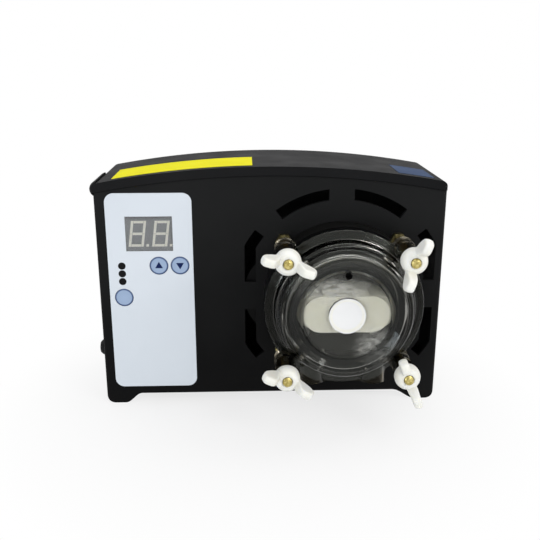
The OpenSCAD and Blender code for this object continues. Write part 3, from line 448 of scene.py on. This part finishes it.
def shadowed_brass():
    """Brass behind the cover, painted brown as shade under the head, with brighter patches."""
    finish = Finish("tarnished brass", (0.2, 0.16, 0.06), 0.38, metallic=1.0)
    rubbed = finish.span(finish.noise(500, 4), 0, 1, 0.5, 0.68)
    finish.tint(finish.blend(rubbed, (0.14, 0.12, 0.055), (0.6, 0.52, 0.25)))
    finish.wear(400, 0.28, 0.5)
    finish.bump(finish.noise(1500, 3), 0.00005)
    return finish.material


def printed_key(name, centre, radius):
    """Pale blue key with a dark printed rim, a little paler at its middle."""
    finish = Finish(name, (0.285, 0.395, 0.59), 0.42)
    paler = (0.3, 0.4, 0.57)
    bluer = (0.265, 0.355, 0.51)
    ink = (0.045, 0.085, 0.2)
    out = finish.distance(centre, (1, 0, 1))
    body = finish.blend(finish.span(out, 0, 1, 0, radius), paler, bluer)
    rim = finish.span(out, 0, 1, radius - 0.00075, radius - 0.0006)
    finish.tint(finish.blend(rim, body, ink))
    finish.wear(150, 0.38, 0.48)
    finish.bump(finish.noise(900, 1), 0.00002)
    return finish.material


def display_face():
    """Grey display face, darker along its upper and right edges where the recess shades it."""
    high = corners("display_module")[1]
    shadow = (0.085, 0.088, 0.088)
    finish = Finish("grey display face", (0.19, 0.195, 0.205), 0.5)
    top = finish.span(finish.axis("Z"), 0, 1, high[2] - 0.0022, high[2] - 0.0002)
    side = finish.span(finish.axis("X"), 0, 0.8, high[0] - 0.0018, high[0] - 0.0002)
    grain = finish.span(finish.noise(1500, 3), 0, 1, 0.3, 0.7)
    face = finish.blend(grain, (0.17, 0.178, 0.18), (0.215, 0.22, 0.225))
    finish.tint(finish.blend(finish.math("MAXIMUM", top, side), face, shadow))
    finish.bump(finish.noise(2500, 2), 0.00002)
    return finish.material


def polycarbonate():
    """Smoke-tinted polycarbonate: a polished window with smears of grease above and below the
    rotor, and duller and darker rings round it.
    Painted light and shade: the rings are tinted lighter above the axis and darker below it, and
    the ears dark brown; painted reflection:
    reflections are tinted brighter at the axis's level and on the slope than on the rings and the
    ears."""
    window_tint = (0.93, 0.93, 0.88)
    low_painted_shade = (0.24, 0.24, 0.225)
    lit_ring_smoke = (0.4, 0.4, 0.37)
    lit_drum_smoke = (0.85, 0.85, 0.8)
    ear_painted_shade = (0.32, 0.29, 0.22)
    window_sheen = (0.68, 0.69, 0.65)
    painted_ring_sheen = (0.35, 0.36, 0.33)
    painted_level_sheen = (0.88, 0.91, 0.83)
    painted_ear_sheen = (0.2, 0.185, 0.14)
    painted_slope_sheen = (0.66, 0.68, 0.68)
    finish = Finish("clear cover", (0.9, 0.9, 0.86), 0.03, specular=0.36)
    finish.shader.inputs["IOR"].default_value = 1.46
    out = finish.distance(head, (1, 0, 1))
    height = finish.math("SUBTRACT", finish.axis("Z"), float(head_z))
    rim = finish.span(out, 0, 1, 0.0222, 0.0236)
    drum = finish.span(out, 0, 1, 0.0305, 0.0315)
    ears = finish.span(out, 0, 1, 0.0421, 0.0425)
    slope = finish.math("MULTIPLY", rim, finish.span(out, 1, 0, 0.0296, 0.0302))
    above = finish.span(height, 0, 1, 0.008, 0.026)
    level = finish.span(finish.math("ABSOLUTE", height), 1, 0, 0.012, 0.03)

    # Painted light and shade: the tint is lighter above the axis, clearest on the drum, darker
    # below it, and dark brown on the ears.
    smoke = finish.blend(above, low_painted_shade, finish.blend(drum, lit_ring_smoke, lit_drum_smoke))
    smoke = finish.blend(ears, smoke, ear_painted_shade)
    finish.tint(finish.blend(rim, window_tint, smoke))

    streaks = finish.noise(260, 4, finish.placed(scale=(1, 1, 2.6)))
    upper = finish.distance(head + (-0.006, -0.031, 0.013), (0.6, 1, 1.5))
    lower = finish.distance(head + (0.016, -0.031, -0.0175), (0.9, 1, 1))
    smear = finish.math("MAXIMUM", finish.span(upper, 1, 0, 0.004, 0.0125),
                        finish.span(lower, 1, 0, 0.003, 0.0125))
    grease = finish.math("MULTIPLY", smear, finish.span(streaks, 0.15, 1, 0.4, 0.6))
    finish.feed(finish.shader.inputs["Transmission Weight"], finish.span(grease, 1, 0.74, 0, 1))

    patches = finish.span(finish.noise(70, 3), 0, 1, 0.5, 0.62)
    rough = finish.math("ADD", finish.math("MULTIPLY", grease, 0.2),
                        finish.math("MULTIPLY", patches, 0.02))
    rough = finish.math("ADD", rough, finish.math("MULTIPLY", rim, 0.04))
    finish.feed(finish.shader.inputs["Roughness"], finish.math("ADD", rough, 0.03))

    gloss = finish.math("ADD", finish.span(rim, 0.2, 0.09, 0, 1),
                        finish.math("MULTIPLY", slope, 0.3))
    gloss = finish.math("ADD", gloss, finish.math("MULTIPLY", grease, 0.5))
    finish.feed(finish.shader.inputs["Specular IOR Level"], gloss)
    # Painted reflection: reflections are tinted brighter at the axis's level and on the slope,
    # and darker on the rings and the ears.
    sheen = finish.blend(level, painted_level_sheen, painted_ring_sheen)
    sheen = finish.blend(ears, sheen, painted_ear_sheen)
    sheen = finish.blend(finish.math("MULTIPLY", slope, 0.5), sheen, painted_slope_sheen)
    finish.feed(finish.shader.inputs["Specular Tint"], finish.blend(rim, window_sheen, sheen))

    finish.bump(finish.math("MULTIPLY", smear, streaks), 0.0003)
    finish.bump(finish.noise(60, 1), 0.00001)
    return finish.material


black_panel = grained_panel()
black_hood = moulded("black grained hood", (0.008, 0.0082, 0.0088), (0.0105, 0.0107, 0.0113),
                     0.54, specular=0.045)
black_back = moulded("black back plate", (0.0085, 0.0085, 0.009), (0.011, 0.011, 0.0115), 0.6,
                     specular=0.16)
black_gland = smooth_plastic("black nylon gland", (0.006, 0.006, 0.006), 0.5, specular=0.1)
black_head = smooth_plastic("black head moulding", (0.005, 0.005, 0.0048), 0.36, specular=0.14)
black_tube = moulded("black tube rubber", (0.008, 0.008, 0.008), (0.013, 0.013, 0.013), 0.5,
                     1800)
clear_cover = polycarbonate()
vent_shade = smooth_plastic("shaded bore of the vent", (0.004, 0.004, 0.004), 0.6, specular=0.1)
clear_window = clear_plastic("display window", (0.93, 0.94, 0.95), 0.08)
overlay_film = moulded("pale blue grey film", (0.617, 0.662, 0.712), (0.647, 0.69, 0.742), 0.46,
                       3000, 0.00001, 0.3)
display_grey = display_face()
segment_white = smooth_plastic("diffused segment", (0.76, 0.74, 0.64), 0.45)
lamp_dark = smooth_plastic("dark lamp window", (0.004, 0.004, 0.0045), 0.4, specular=0.08)
lamp_red = smooth_plastic("red lamp", (0.3, 0.02, 0.02), 0.2)
key_blue = {node: printed_key("pale blue " + node, middle(node), 0.0049)
            for node in ("up_button", "down_button", "mode_button")}
arrow_ink = smooth_plastic("dark blue arrow ink", (0.007, 0.016, 0.075), 0.6, specular=0.08)
board_green = smooth_plastic("green board lacquer", (0.015, 0.09, 0.04), 0.3, (0.02, 0.11, 0.05))
switch_black = smooth_plastic("black switch", (0.015, 0.015, 0.015), 0.35)
core_iron = metal("laminated iron", (0.2, 0.19, 0.18), 0.5, (1, 40, 1))
terminal_green = smooth_plastic("green terminal", (0.03, 0.2, 0.07), 0.35)
sleeve_blue = smooth_plastic("dark blue sleeve", (0.02, 0.03, 0.1), 0.3)
zinc = metal("zinc plated steel", (0.5, 0.5, 0.51), 0.35)
steel = metal("ground steel", (0.6, 0.6, 0.6), 0.22, (1, 30, 1))
brass = turned_brass()
bronze = metal("sintered bronze", (0.4, 0.25, 0.12), 0.45)
nylon_white = nylon("white nylon", (0.83, 0.83, 0.795), (0.8, 0.79, 0.72))
rotor_white = nylon("off-white acetal", (0.86, 0.85, 0.79), (0.8, 0.79, 0.72))
journal_white = smooth_plastic("polished journal", (0.93, 0.925, 0.88), 0.35, specular=0.3)
gear_cream = smooth_plastic("cream gear nylon", (0.6, 0.5, 0.3), 0.45)
gearbox_dark = moulded("dark cast gearbox", (0.004, 0.004, 0.004), (0.006, 0.006, 0.006), 0.6,
                       specular=0.06)
motor_dark = metal("drawn motor can", (0.06, 0.06, 0.062), 0.4, (1, 1, 30))
label_yellow = smooth_plastic("yellow label", (0.82, 0.76, 0.006), 0.6, (0.86, 0.8, 0.01),
                              specular=0.04)
label_blue = smooth_plastic("dark blue label", (0.03, 0.055, 0.12), 0.6, (0.045, 0.075, 0.15),
                            specular=0.06)

material_of = {
    "black_housing": black_panel, "black_hood": black_hood, "back_plate_plastic": black_back,
    "head_plastic": black_head, "clear_cover": clear_cover, "clear_window": clear_window,
    "overlay_film": overlay_film, "display_grey": display_grey, "segment": segment_white,
    "lamp_window": lamp_dark, "lamp": lamp_red, "board": board_green,
    "key_blue": key_blue["mode_button"], "switch_black": switch_black,
    "transformer_iron": core_iron, "terminal_green": terminal_green,
    "capacitor_sleeve": sleeve_blue, "zinc_steel": zinc, "bright_steel": steel,
    "brass_thread": brass, "bronze": bronze, "wing_nylon": nylon_white,
    "rotor_white": rotor_white, "roller_white": rotor_white, "tube_black": black_tube,
    "nipple_black": black_gland, "gland_black": black_gland, "gear_nylon": gear_cream,
    "case_metal": gearbox_dark, "motor_metal": motor_dark, "yellow_label": label_yellow,
    "blue_label": label_blue}


# The studs' nuts take brass painted brown as shade under the head.
shadowed = shadowed_brass()
special = {**key_blue, "stud_nuts": shadowed, "stud_back_nuts": shadowed}


def finish_node(node, material):
    """Gives a CAD node its material in every slot."""
    slots = nodes[node].data.materials
    slots.clear()
    slots.append(material)


for node, slot in slot_of.items():
    finish_node(node, special.get(node, material_of[slot]))


def stands_for(piece, *replaced):
    """Puts a piece on the body of the nodes it stands for, with their finish."""
    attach(piece, home[replaced[0]])
    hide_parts(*replaced)
    piece.data.materials.clear()
    piece.data.materials.append(nodes[replaced[0]].data.materials[0])
    return piece


# ---------- Housing: the moulded pieces with their edges rounded ----------

def flattened(mesh):
    """Merges the doubled points of a mesh and dissolves the edges inside its flat faces."""
    work = bmesh.new()
    work.from_mesh(mesh)
    bmesh.ops.remove_doubles(work, verts=work.verts, dist=0.000002)
    bmesh.ops.dissolve_limit(work, angle_limit=math.radians(0.5), verts=work.verts,
                             edges=work.edges, delimit=set())
    work.to_mesh(mesh)
    work.free()
    return mesh


def merged(node):
    """A copy of a node's mesh with its doubled points merged, as a closed solid."""
    mesh = nodes[node].data.copy()
    settle(mesh, 0.000002)
    return mesh


def soften(piece, width, segments=3, weigh=None):
    """Rounds the edges of a mesh that are sharper than 30 degrees. The function weigh gives
    each edge its share of the width."""
    sharp = math.radians(30)
    mesh = piece.data
    work = bmesh.new()
    work.from_mesh(mesh)
    layer = work.edges.layers.float.new("bevel_weight_edge")
    for edge in work.edges:
        if len(edge.link_faces) == 2 and edge.calc_face_angle(0) > sharp:
            edge[layer] = weigh(edge) if weigh else 1.0
    work.to_mesh(mesh)
    work.free()
    bevel = piece.modifiers.new("edge", "BEVEL")
    bevel.width = width
    bevel.segments = segments
    bevel.limit_method = "WEIGHT"
    bevel.use_clamp_overlap = True
    baked(piece)
    even_shading(piece, 40)


def soft_node(node, width, segments=3, weigh=None):
    """A rounded copy of one node that stands for it."""
    piece = thing(node + "_soft", flattened(nodes[node].data.copy()))
    soften(piece, width, segments, weigh=weigh)
    return stands_for(piece, node)


def make_shell():
    """The moulded shell: panel, floor and sides as one skin with its edges just rounded."""
    piece = thing("moulded_shell", merged("front_panel"))
    carved(piece, "UNION", merged("housing_tray"))
    flattened(piece.data)
    soften(piece, 0.0003, 2)
    return stands_for(piece, "front_panel", "housing_tray")


def make_hood():
    """The arched hood, its front upper edge rounded over and its other edges just broken."""
    low, high = corners("hood")
    half = (plate_high[0] - plate_low[0]) / 2
    arch_drop = 0.0072
    lip = 0.003
    just_broken = 0.16

    def weigh(edge):
        """The full width on the arched upper edge of the front, and a small share elsewhere."""
        point = (edge.verts[0].co + edge.verts[1].co) / 2
        run = edge.verts[0].co - edge.verts[1].co
        inside_lip = high[2] - lip - arch_drop * ((point.x - middle_x) / half) ** 2
        at_front = abs(point.y - low[1]) < 0.00005 and abs(run.y) < 0.00001
        return 1.0 if at_front and point.z > inside_lip else just_broken

    return soft_node("hood", 0.0022, 5, weigh)


# ---------- Wing nuts and studs ----------

def wing(side):
    """One wing of a nut: a paddle whose outline leans outwards from the hub and ends broad. At
    share s of the way from its middle to its edge its thickness is the full one times the root
    of 1 - s^10, and the full one grows towards the hub."""
    tip_half = 0.0022
    root_more = 0.0009
    u = np.array([0.0046, 0.0083, 0.013, 0.0141, 0.0127, 0.0072, 0.0055, 0.0044])
    v = np.array([0.04, 0.14, 0.46, 0.7, 0.99, 0.99, 0.76, 0.46]) * nut_height
    reach = [0, 0.002, 0.002, 0.0012, 0.0014, 0.0018, 0.002, 0]
    outline = eased(np.stack([u, v], axis=-1), reach, 7, closed=True)
    s = np.linspace(0, 1, 16)[:, None, None]
    centre = outline.mean(axis=0)
    place = centre + s * (outline - centre)
    half = tip_half + root_more * np.clip((0.0075 - place[..., 0]) / 0.003, 0, 1)
    half = half * np.sqrt(1 - s[..., 0] ** 10)
    face = np.stack([side * place[..., 0], -place[..., 1], half], axis=-1)
    back = np.stack([side * place[..., 0], -place[..., 1], -half], axis=-1)
    return surface("wing", np.concatenate([face, back[::-1][1:]]))


def make_wing_nut(node):
    """A nylon wing nut: a domed hub turned round the stud and two cushioned wings, fused into
    one skin, then turned to where it was last tightened."""
    hub_r = 0.0067
    hub_len = 0.0068
    bore = stud_r + 0.00018
    profile = eased([(bore, 0), (hub_r - 0.0001, 0), (hub_r, 0.003),
                     (hub_r - 0.0009, hub_len - 0.001), (hub_r - 0.0025, hub_len),
                     (bore, hub_len - 0.0001)],
                    [0.0001, 0.0003, 0.001, 0.002, 0.001, 0.0002], 7, closed=True)
    hub = turned("hub", profile, (0, 0, 0), 96, closed=True)
    piece = thing(node + "_body", joined(node + "_body", [hub, wing(-1), wing(1)]))
    fuse = piece.modifiers.new("fuse", "REMESH")
    fuse.mode = "VOXEL"
    fuse.voxel_size = 0.00026
    flow = piece.modifiers.new("flow", "SMOOTH")
    flow.iterations = 4
    flow.factor = 0.6
    baked(piece)
    points = np.empty(len(piece.data.vertices) * 3)
    piece.data.vertices.foreach_get("co", points)
    x, y, z = points.reshape(-1, 3).T
    a = math.radians(nut_turn[node])
    spun = np.stack([x * math.cos(a) - z * math.sin(a), y, x * math.sin(a) + z * math.cos(a)],
                    axis=-1)
    place = stud_at[node] * (1, 0, 1) + (0, nut_high[1], 0)
    piece.data.vertices.foreach_set("co", (spun + place).ravel())
    piece.data.update()
    piece.data.shade_smooth()
    return stands_for(piece, node)


def make_studs():
    """Threaded studs: the radius falls from crest to root as a wave along the helix and fades
    to the chamfer of the sawn tip. Behind the thread that shows, the shank is plain."""
    pitch = 0.00106
    depth = 0.00055
    shown = 0.03
    crown = 0.00012
    chamfer = 0.0006
    d = np.linspace(0, shown, int(shown / pitch * 10))[:, None]
    a = np.linspace(0, TURN, 40, endpoint=False)[None, :]
    wave = np.abs(((d / pitch + a / TURN) % 1) * 2 - 1)
    fade = np.clip(d / 0.0007, 0, 1)
    r = stud_r - depth * np.clip(wave * 1.25 - 0.1, 0, 1) - chamfer * (1 - fade)
    rise = np.linspace(0.02, 0.98, 6)[:, None] * r[:1]
    cap = np.stack([rise * np.cos(a), crown * (rise / stud_r) ** 2, rise * np.sin(a)], axis=-1)
    thread = np.stack([r * np.cos(a), d + crown + 0 * a, r * np.sin(a)], axis=-1)
    plain = np.array([shown + 0.0002, stud_high[1] - stud_low[1]])[:, None] + 0 * a
    shank = np.stack([stud_r * np.cos(a) + 0 * plain, plain, stud_r * np.sin(a) + 0 * plain],
                     axis=-1)
    points = np.concatenate([cap, thread, shank])
    meshes = [surface("stud", points + place * (1, 0, 1) + (0, stud_low[1], 0), caps=True)
              for place in stud_at.values()]
    piece = thing("threaded_studs", joined("threaded_studs", meshes))
    shade(piece.data, 50)
    return stands_for(piece, "studs")


# ---------- Pump head ----------

journal_hole_r = 0.0095
window_front = 0.034
window_rear = 0.031
vent_r = 0.0019
vent_z = head_z + 0.0215


def cover_profile():
    """The cover's section: out from the journal's hole over the flat window, the sloped ring
    with its raised crest, the stepped drum and the ringed flange, and back inside the bore."""
    bore = 0.0315
    flange_r = 0.0422
    rings = np.array([  # radius, distance in front of the panel, reach of the rounded corner
        (journal_hole_r, window_front, 0.0002), (0.0101, window_front, 0),
        (0.0192, window_front, 0), (0.0224, window_front, 0.0002),
        (0.0227, 0.0342, 0.0002), (0.0234, 0.0342, 0.0002), (0.0242, 0.0335, 0.0004),
        (0.026, 0.0334, 0.0006), (0.0297, 0.0355, 0.0005), (0.0306, 0.0356, 0.0002),
        (0.0308, 0.0354, 0.0002), (0.0311, 0.0354, 0.0002), (0.0314, 0.0334, 0.0003),
        (0.0325, 0.0332, 0.0002), (0.0327, 0.033, 0.0002), (0.0337, 0.0329, 0.0005),
        (0.0346, 0.032, 0.0005), (0.0353, 0.028, 0.0008), (0.0364, 0.0274, 0.0008),
        (0.0378, 0.0224, 0.0003), (0.0384, 0.0222, 0.0001), (0.0386, 0.02205, 0.0001),
        (0.0397, 0.02205, 0.0001), (0.0399, 0.0219, 0.0001), (0.0408, 0.0219, 0.0001),
        (0.041, 0.02175, 0.0001), (0.0417, 0.02175, 0.0004), (flange_r, 0.0212, 0.0004),
        (flange_r, 0.0142, 0.0005), (0.0416, base_front, 0.0004),
        (bore + 0.0008, base_front, 0.0003), (bore, 0.0143, 0.0003), (bore, 0.0302, 0.0006),
        (bore - 0.0009, window_rear, 0.0004), (0.0295, window_rear, 0),
        (0.0101, window_rear, 0), (journal_hole_r, window_rear, 0.0002)])
    return eased(rings[:, :2], rings[:, 2], 5, closed=True)


def add_ears(cover):
    """Joins an ear on round each stud: a column turned round it, with a waist near its front."""
    r = 0.0056
    waist_r = 0.0049
    profile = eased([(0, ear_front), (0.0053, ear_front), (0.0055, 0.025), (waist_r, 0.0241),
                     (waist_r, 0.0227), (r, 0.0217), (r, base_front), (0, base_front)],
                    [0, 0.001, 0.0005, 0.0004, 0.0004, 0.0005, 0.0004, 0], 6)
    for place in stud_at.values():
        foot = place * (1, 0, 1) + (0, panel_y, 0)
        carved(cover, "UNION", turned("ear", profile, foot, 64))


def port_outline(side, r, rear):
    """Section of a tube port: half a circle in front, and straight sides back to the rear."""
    x = head_x + side * port_x
    return np.concatenate([arc((x, tube_y), r, 180, 360, 40), [(x + r, rear), (x - r, rear)]])


def add_ports(cover):
    """Joins the two tube ports on, each its section carried straight up, and the web between
    them, a thin rounded bar."""
    foot = cover_low[2]
    for side in (-1, 1):
        outline = port_outline(side, 0.0072, panel_y - base_front)
        carved(cover, "UNION", prism("port", outline, foot, head_z - 0.026, "z"))
    web = eased([(-port_x, -0.0216), (port_x, -0.0216), (port_x, -base_front),
                 (-port_x, -base_front)], 0.0004, 4, closed=True)
    carved(cover, "UNION", prism("web", web + (head_x, panel_y), foot, foot + 0.008, "z"))


def cut_ways(cover):
    """Cuts the round stud holes, the tube's two ways and the round vent through the cover."""
    stud_way_r = 0.00271
    stud_way = [(0, 0.05), (stud_way_r, 0.05), (stud_way_r, 0), (0, 0)]
    for place in stud_at.values():
        foot = place * (1, 0, 1) + (0, panel_y, 0)
        carved(cover, "DIFFERENCE", turned("hole", stud_way, foot, 40))
    for side in (-1, 1):
        way = port_outline(side, 0.0058, panel_y - base_front + 0.002)
        carved(cover, "DIFFERENCE", prism("way", way, cover_low[2] - 0.001, head_z - 0.02, "z"))
    vent = [(0, 0.04), (vent_r, 0.04), (vent_r, 0.025), (0, 0.025)]
    carved(cover, "DIFFERENCE", turned("vent", vent, (head_x, panel_y, vent_z), 40))


def shade_walls(cover):
    """Gives the walls of the journal's hole and of the vent their own near-black material, as
    painted shade.
    """
    near = 0.00008
    at = places(cover.data)
    depth = panel_y - at[:, 1]
    from_vent = np.hypot(at[:, 0] - head_x, at[:, 2] - vent_z)
    from_axis = np.hypot(at[:, 0] - head_x, at[:, 2] - head_z)
    wall = (np.abs(from_vent - vent_r) < near) | (np.abs(from_axis - journal_hole_r) < near)
    wall &= (depth > window_rear + 0.0002) & (depth < window_front - 0.0001)
    cover.data.materials.append(vent_shade)
    cover.data.polygons.foreach_set("material_index", wall.astype(np.int32))


def make_cover():
    """The clear cover: one section turned round the head's axis, with the ears and the ports
    joined on and its ways cut through."""
    mesh = turned("clear_cover", cover_profile(), head, 256, closed=True)
    cover = thing("clear_cover", mesh)
    add_ears(cover)
    add_ports(cover)
    cut_ways(cover)
    even_shading(cover, 32)
    stands_for(cover, "head_cover")
    shade_walls(cover)


def make_tube():
    """The squeeze tube: an oval section carried along the raceway's arc and down both ports
    round a bend, pressed flat on the arc and round where it leaves."""
    pressed_half = 0.0068
    inner = 0.0263
    outer = tube_high[2] - head_z
    mid = (inner + outer) / 2
    leave = math.radians(45)
    bend = 0.0124
    bend_x = mid * math.cos(leave) - bend * (1 - math.cos(leave))
    a = np.linspace(math.pi / 2, -leave, 70)
    ring = np.stack([mid * np.cos(a), mid * np.sin(a), 1 + 0 * a], axis=-1)
    t = np.linspace(0, 1, 26)[1:]
    b = leave * (1 - t)
    leg = np.stack([bend_x + bend * (1 - np.cos(b)) + (port_x - bend_x) * t,
                    -mid * math.sin(leave) - bend * (math.sin(leave) - np.sin(b)), 1 - t],
                   axis=-1)
    down = np.linspace(leg[-1, 1], nipple_high[2] - head_z, 8)[1:]
    straight = np.stack([port_x + 0 * down, down, 0 * down], axis=-1)
    right = np.concatenate([ring, leg, straight])
    line = np.concatenate([right[::-1] * (-1, 1, 1), right[1:]])
    run = np.gradient(line[:, :2], axis=0)
    run /= np.linalg.norm(run, axis=1, keepdims=True)
    pressed = line[:, 2:]
    half = (outer - inner) / 2 * pressed + tube_r * (1 - pressed)
    roundness = np.minimum(1, 1.6 * (1 - pressed))
    wide = pressed_half * (1 - roundness) + tube_r * roundness
    u = np.linspace(0, TURN, 36, endpoint=False)[None, :]
    points = np.stack([head_x + line[:, :1] - run[:, 1:] * half * np.cos(u),
                       tube_y + wide * np.sin(u),
                       head_z + line[:, 1:2] + run[:, :1] * half * np.cos(u)], axis=-1)
    return stands_for(thing("rubber_tube", surface("rubber_tube", points, caps=True)),
                      "squeeze_tube")


def make_gland():
    """The cord gland, turned round its own axis: a body behind the wall, a thin flange on it
    and a nose that is a circle's arc down to the bore."""
    low, high = corners("cord_gland")
    wall_x = plate_low[0]
    proud = wall_x - low[0]
    end = wall_x - high[0]
    bore = 0.0031
    r = 0.0052
    nose = arc((0, proud - math.sqrt(r * r - bore * bore)), r, 0,
               math.degrees(math.acos(bore / r)), 24)
    body_r = r + 0.001
    flange = [(r + 0.0016, 0), (r + 0.0015, 0.0005), (r + 0.0003, 0.0009)]
    profile = np.concatenate([[(bore, end), (body_r, end), (body_r, 0)], flange, nose])
    centre = (wall_x, (low[1] + high[1]) / 2, (low[2] + high[2]) / 2)
    mesh = turned("domed_gland", profile, centre, 96, closed=True, along="x")
    return stands_for(thing("domed_gland", mesh), "cord_gland")


def make_rotor():
    """The rotor with its edges rounded and a shallow polished dish turned into the face of its
    journal."""
    journal_r = 0.0097
    dish_r = 0.009
    floor_r = 0.0076
    piece = soft_node("rotor", 0.0004, 3)
    front = panel_y - corners("rotor")[0][1]
    dish = turned("dish", [(0, front + 0.001), (dish_r, front + 0.001), (dish_r, front),
                           (floor_r, front - 0.0011), (0, front - 0.0011)], head, 96)
    carved(piece, "DIFFERENCE", dish)
    even_shading(piece, 30)
    mesh = piece.data
    mesh.materials.append(journal_white)
    at = places(mesh)
    out = np.hypot(at[:, 0] - head_x, at[:, 2] - head_z)
    journal = (panel_y - at[:, 1] > front - 0.0035) & (out < journal_r)
    journal &= (out < floor_r + 0.0001) | (out > dish_r - 0.0001)
    mesh.polygons.foreach_set("material_index", journal.astype(np.int32))


# ---------- Keypad ----------

def make_key(node):
    """A key turned in one profile: a slightly dished face with an eased edge, the stem through
    the panel, the flange that keeps it in and the plunger."""
    low, high = corners(node)
    r = 0.0049
    plunger_r = 0.0015
    flange_r = (high[0] - low[0]) / 2
    flange_front = -0.0029
    flange_rear = -0.0041
    front = panel_y - low[1]
    rear = panel_y - high[1]
    profile = eased([(0, front - 0.00012), (0.003, front - 0.00008), (r - 0.0006, front),
                     (r, front - 0.0001), (r, flange_front), (flange_r, flange_front),
                     (flange_r, flange_rear), (plunger_r, flange_rear), (plunger_r, rear),
                     (0, rear)],
                    [0, 0.001, 0.0002, 0.0001, 0, 0, 0, 0, 0.0002, 0], 5)
    centre = ((low[0] + high[0]) / 2, panel_y, (low[2] + high[2]) / 2)
    return stands_for(thing(node + "_key", turned(node + "_key", profile, centre, 64)), node)


def make_arrow(node, upright):
    """A solid triangle printed on a key, which points up where upright is 1 and down where it
    is -1. Its three points lie on a circle, and it is carried straight into the key's face."""
    size = 0.0024
    front = corners(node)[0][1]
    x, z = middle(node)[[0, 2]]
    a = np.radians(90 * upright + np.array([0, 120, 240]))
    outline = np.stack([x + size * np.cos(a), z + size * np.sin(a) - 0.0002 * upright], axis=-1)
    name = node + "_arrow"
    piece = thing(name, prism(name, outline, front + 0.00002, front + 0.00016, "y"))
    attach(piece, home[node])
    piece.data.materials.append(arrow_ink)


make_shell()
make_hood()
soft_node("wall_plate", 0.0004, 2)
soft_node("head_base", 0.0005, 3)
soft_node("roller_left", 0.0004, 3)
soft_node("roller_right", 0.0004, 3)
for nut in nut_turn:
    make_wing_nut(nut)
make_studs()
make_cover()
make_tube()
make_gland()
make_rotor()
for key in key_blue:
    make_key(key)
make_arrow("up_button", 1)
make_arrow("down_button", -1)


# ---------- Stage ----------

def make_floor():
    """A plain pale floor, which is seen as white away from the pump's shadow."""
    half = 6
    mesh = bpy.data.meshes.new("floor")
    mesh.from_pydata([(-half, -half, 0), (half, -half, 0), (half, half, 0), (-half, half, 0)],
                     [], [(0, 1, 2, 3)])
    floor = thing("floor", mesh)
    finish = Finish("pale floor", (0.8, 0.8, 0.8), 0.9, specular=0.0)
    nodes_of = finish.tree.nodes
    white = nodes_of.new("ShaderNodeEmission")
    mix = nodes_of.new("ShaderNodeMixShader")
    far = finish.span(finish.distance((0, 0, 0)), 0.75, 1, 0.06, 0.16)
    finish.feed(mix.inputs[0], finish.math("MULTIPLY", seen_directly(finish.tree), far))
    finish.feed(mix.inputs[1], finish.shader.outputs[0])
    finish.feed(mix.inputs[2], white.outputs[0])
    finish.feed(nodes_of["Material Output"].inputs[0], mix.outputs[0])
    mesh.materials.append(finish.material)


def seen_directly(tree):
    """One where the camera sees a surface by itself, in a reflection or through glass."""
    path = tree.nodes.new("ShaderNodeLightPath")
    either = tree.nodes.new("ShaderNodeMath")
    any_of = tree.nodes.new("ShaderNodeMath")
    either.operation = "MAXIMUM"
    any_of.operation = "MAXIMUM"
    tree.links.new(path.outputs["Is Camera Ray"], either.inputs[0])
    tree.links.new(path.outputs["Is Glossy Ray"], either.inputs[1])
    tree.links.new(either.outputs[0], any_of.inputs[0])
    tree.links.new(path.outputs["Is Transmission Ray"], any_of.inputs[1])
    return any_of.outputs[0]


def make_world():
    """Even pale surroundings, white where the camera sees them."""
    world = bpy.data.worlds.new("studio")
    bpy.context.scene.world = world
    world.use_nodes = True
    tree = world.node_tree
    background = tree.nodes["Background"]
    background.inputs["Color"].default_value = (1, 1, 1, 1)
    strength = tree.nodes.new("ShaderNodeMapRange")
    strength.inputs["To Min"].default_value = 0.65
    strength.inputs["To Max"].default_value = 1.0
    tree.links.new(seen_directly(tree), strength.inputs["Value"])
    tree.links.new(strength.outputs["Result"], background.inputs["Strength"])


def softbox(name, place, aim, size, power, colour=(1, 1, 1)):
    """A rectangular lamp at a place, turned to an aim."""
    lamp = bpy.data.lights.new(name, "AREA")
    lamp.color = colour
    lamp.shape = "RECTANGLE"
    lamp.size, lamp.size_y = size
    lamp.energy = power
    holder = bpy.data.objects.new(name, lamp)
    bpy.context.collection.objects.link(holder)
    run = np.array(aim, float) - np.array(place, float)
    holder.location = place
    holder.rotation_euler = (math.acos(-run[2] / np.linalg.norm(run)), 0,
                             math.atan2(run[1], run[0]) - math.pi / 2)


def make_lights():
    """A key from the right and above, a weak cool fill and a window light from the left, and a
    soft light from the top."""
    aim = (0.01, 0, 0.07)
    softbox("key", (0.75, -0.75, 0.75), aim, (0.5, 0.5), 4.9)
    softbox("fill", (-0.7, -0.87, 0.14), aim, (0.4, 0.26), 1.7, (0.8, 0.9, 1))
    softbox("window", (-0.33, -0.9, 0.1), aim, (0.35, 0.24), 1.3)
    softbox("top", (0.1, 0.25, 1.1), aim, (0.9, 0.6), 2.8)


def make_camera():
    """The camera in front and above, a little left of the middle, looking down at the pump."""
    left_of_middle = 0.01363
    in_front = 0.3801
    height = 0.19548
    look_down = 17.07
    look_right = 1.936
    camera = bpy.data.cameras.new("camera")
    camera.lens = 48.54
    camera.sensor_width = 36
    holder = bpy.data.objects.new("camera", camera)
    bpy.context.collection.objects.link(holder)
    holder.location = (middle_x - left_of_middle, panel_y - in_front, height)
    holder.rotation_euler = (math.radians(90 - look_down), 0, math.radians(-look_right))
    bpy.context.scene.camera = holder


make_floor()
make_world()
make_lights()
make_camera()
bpy.context.scene.view_settings.view_transform = "Standard"
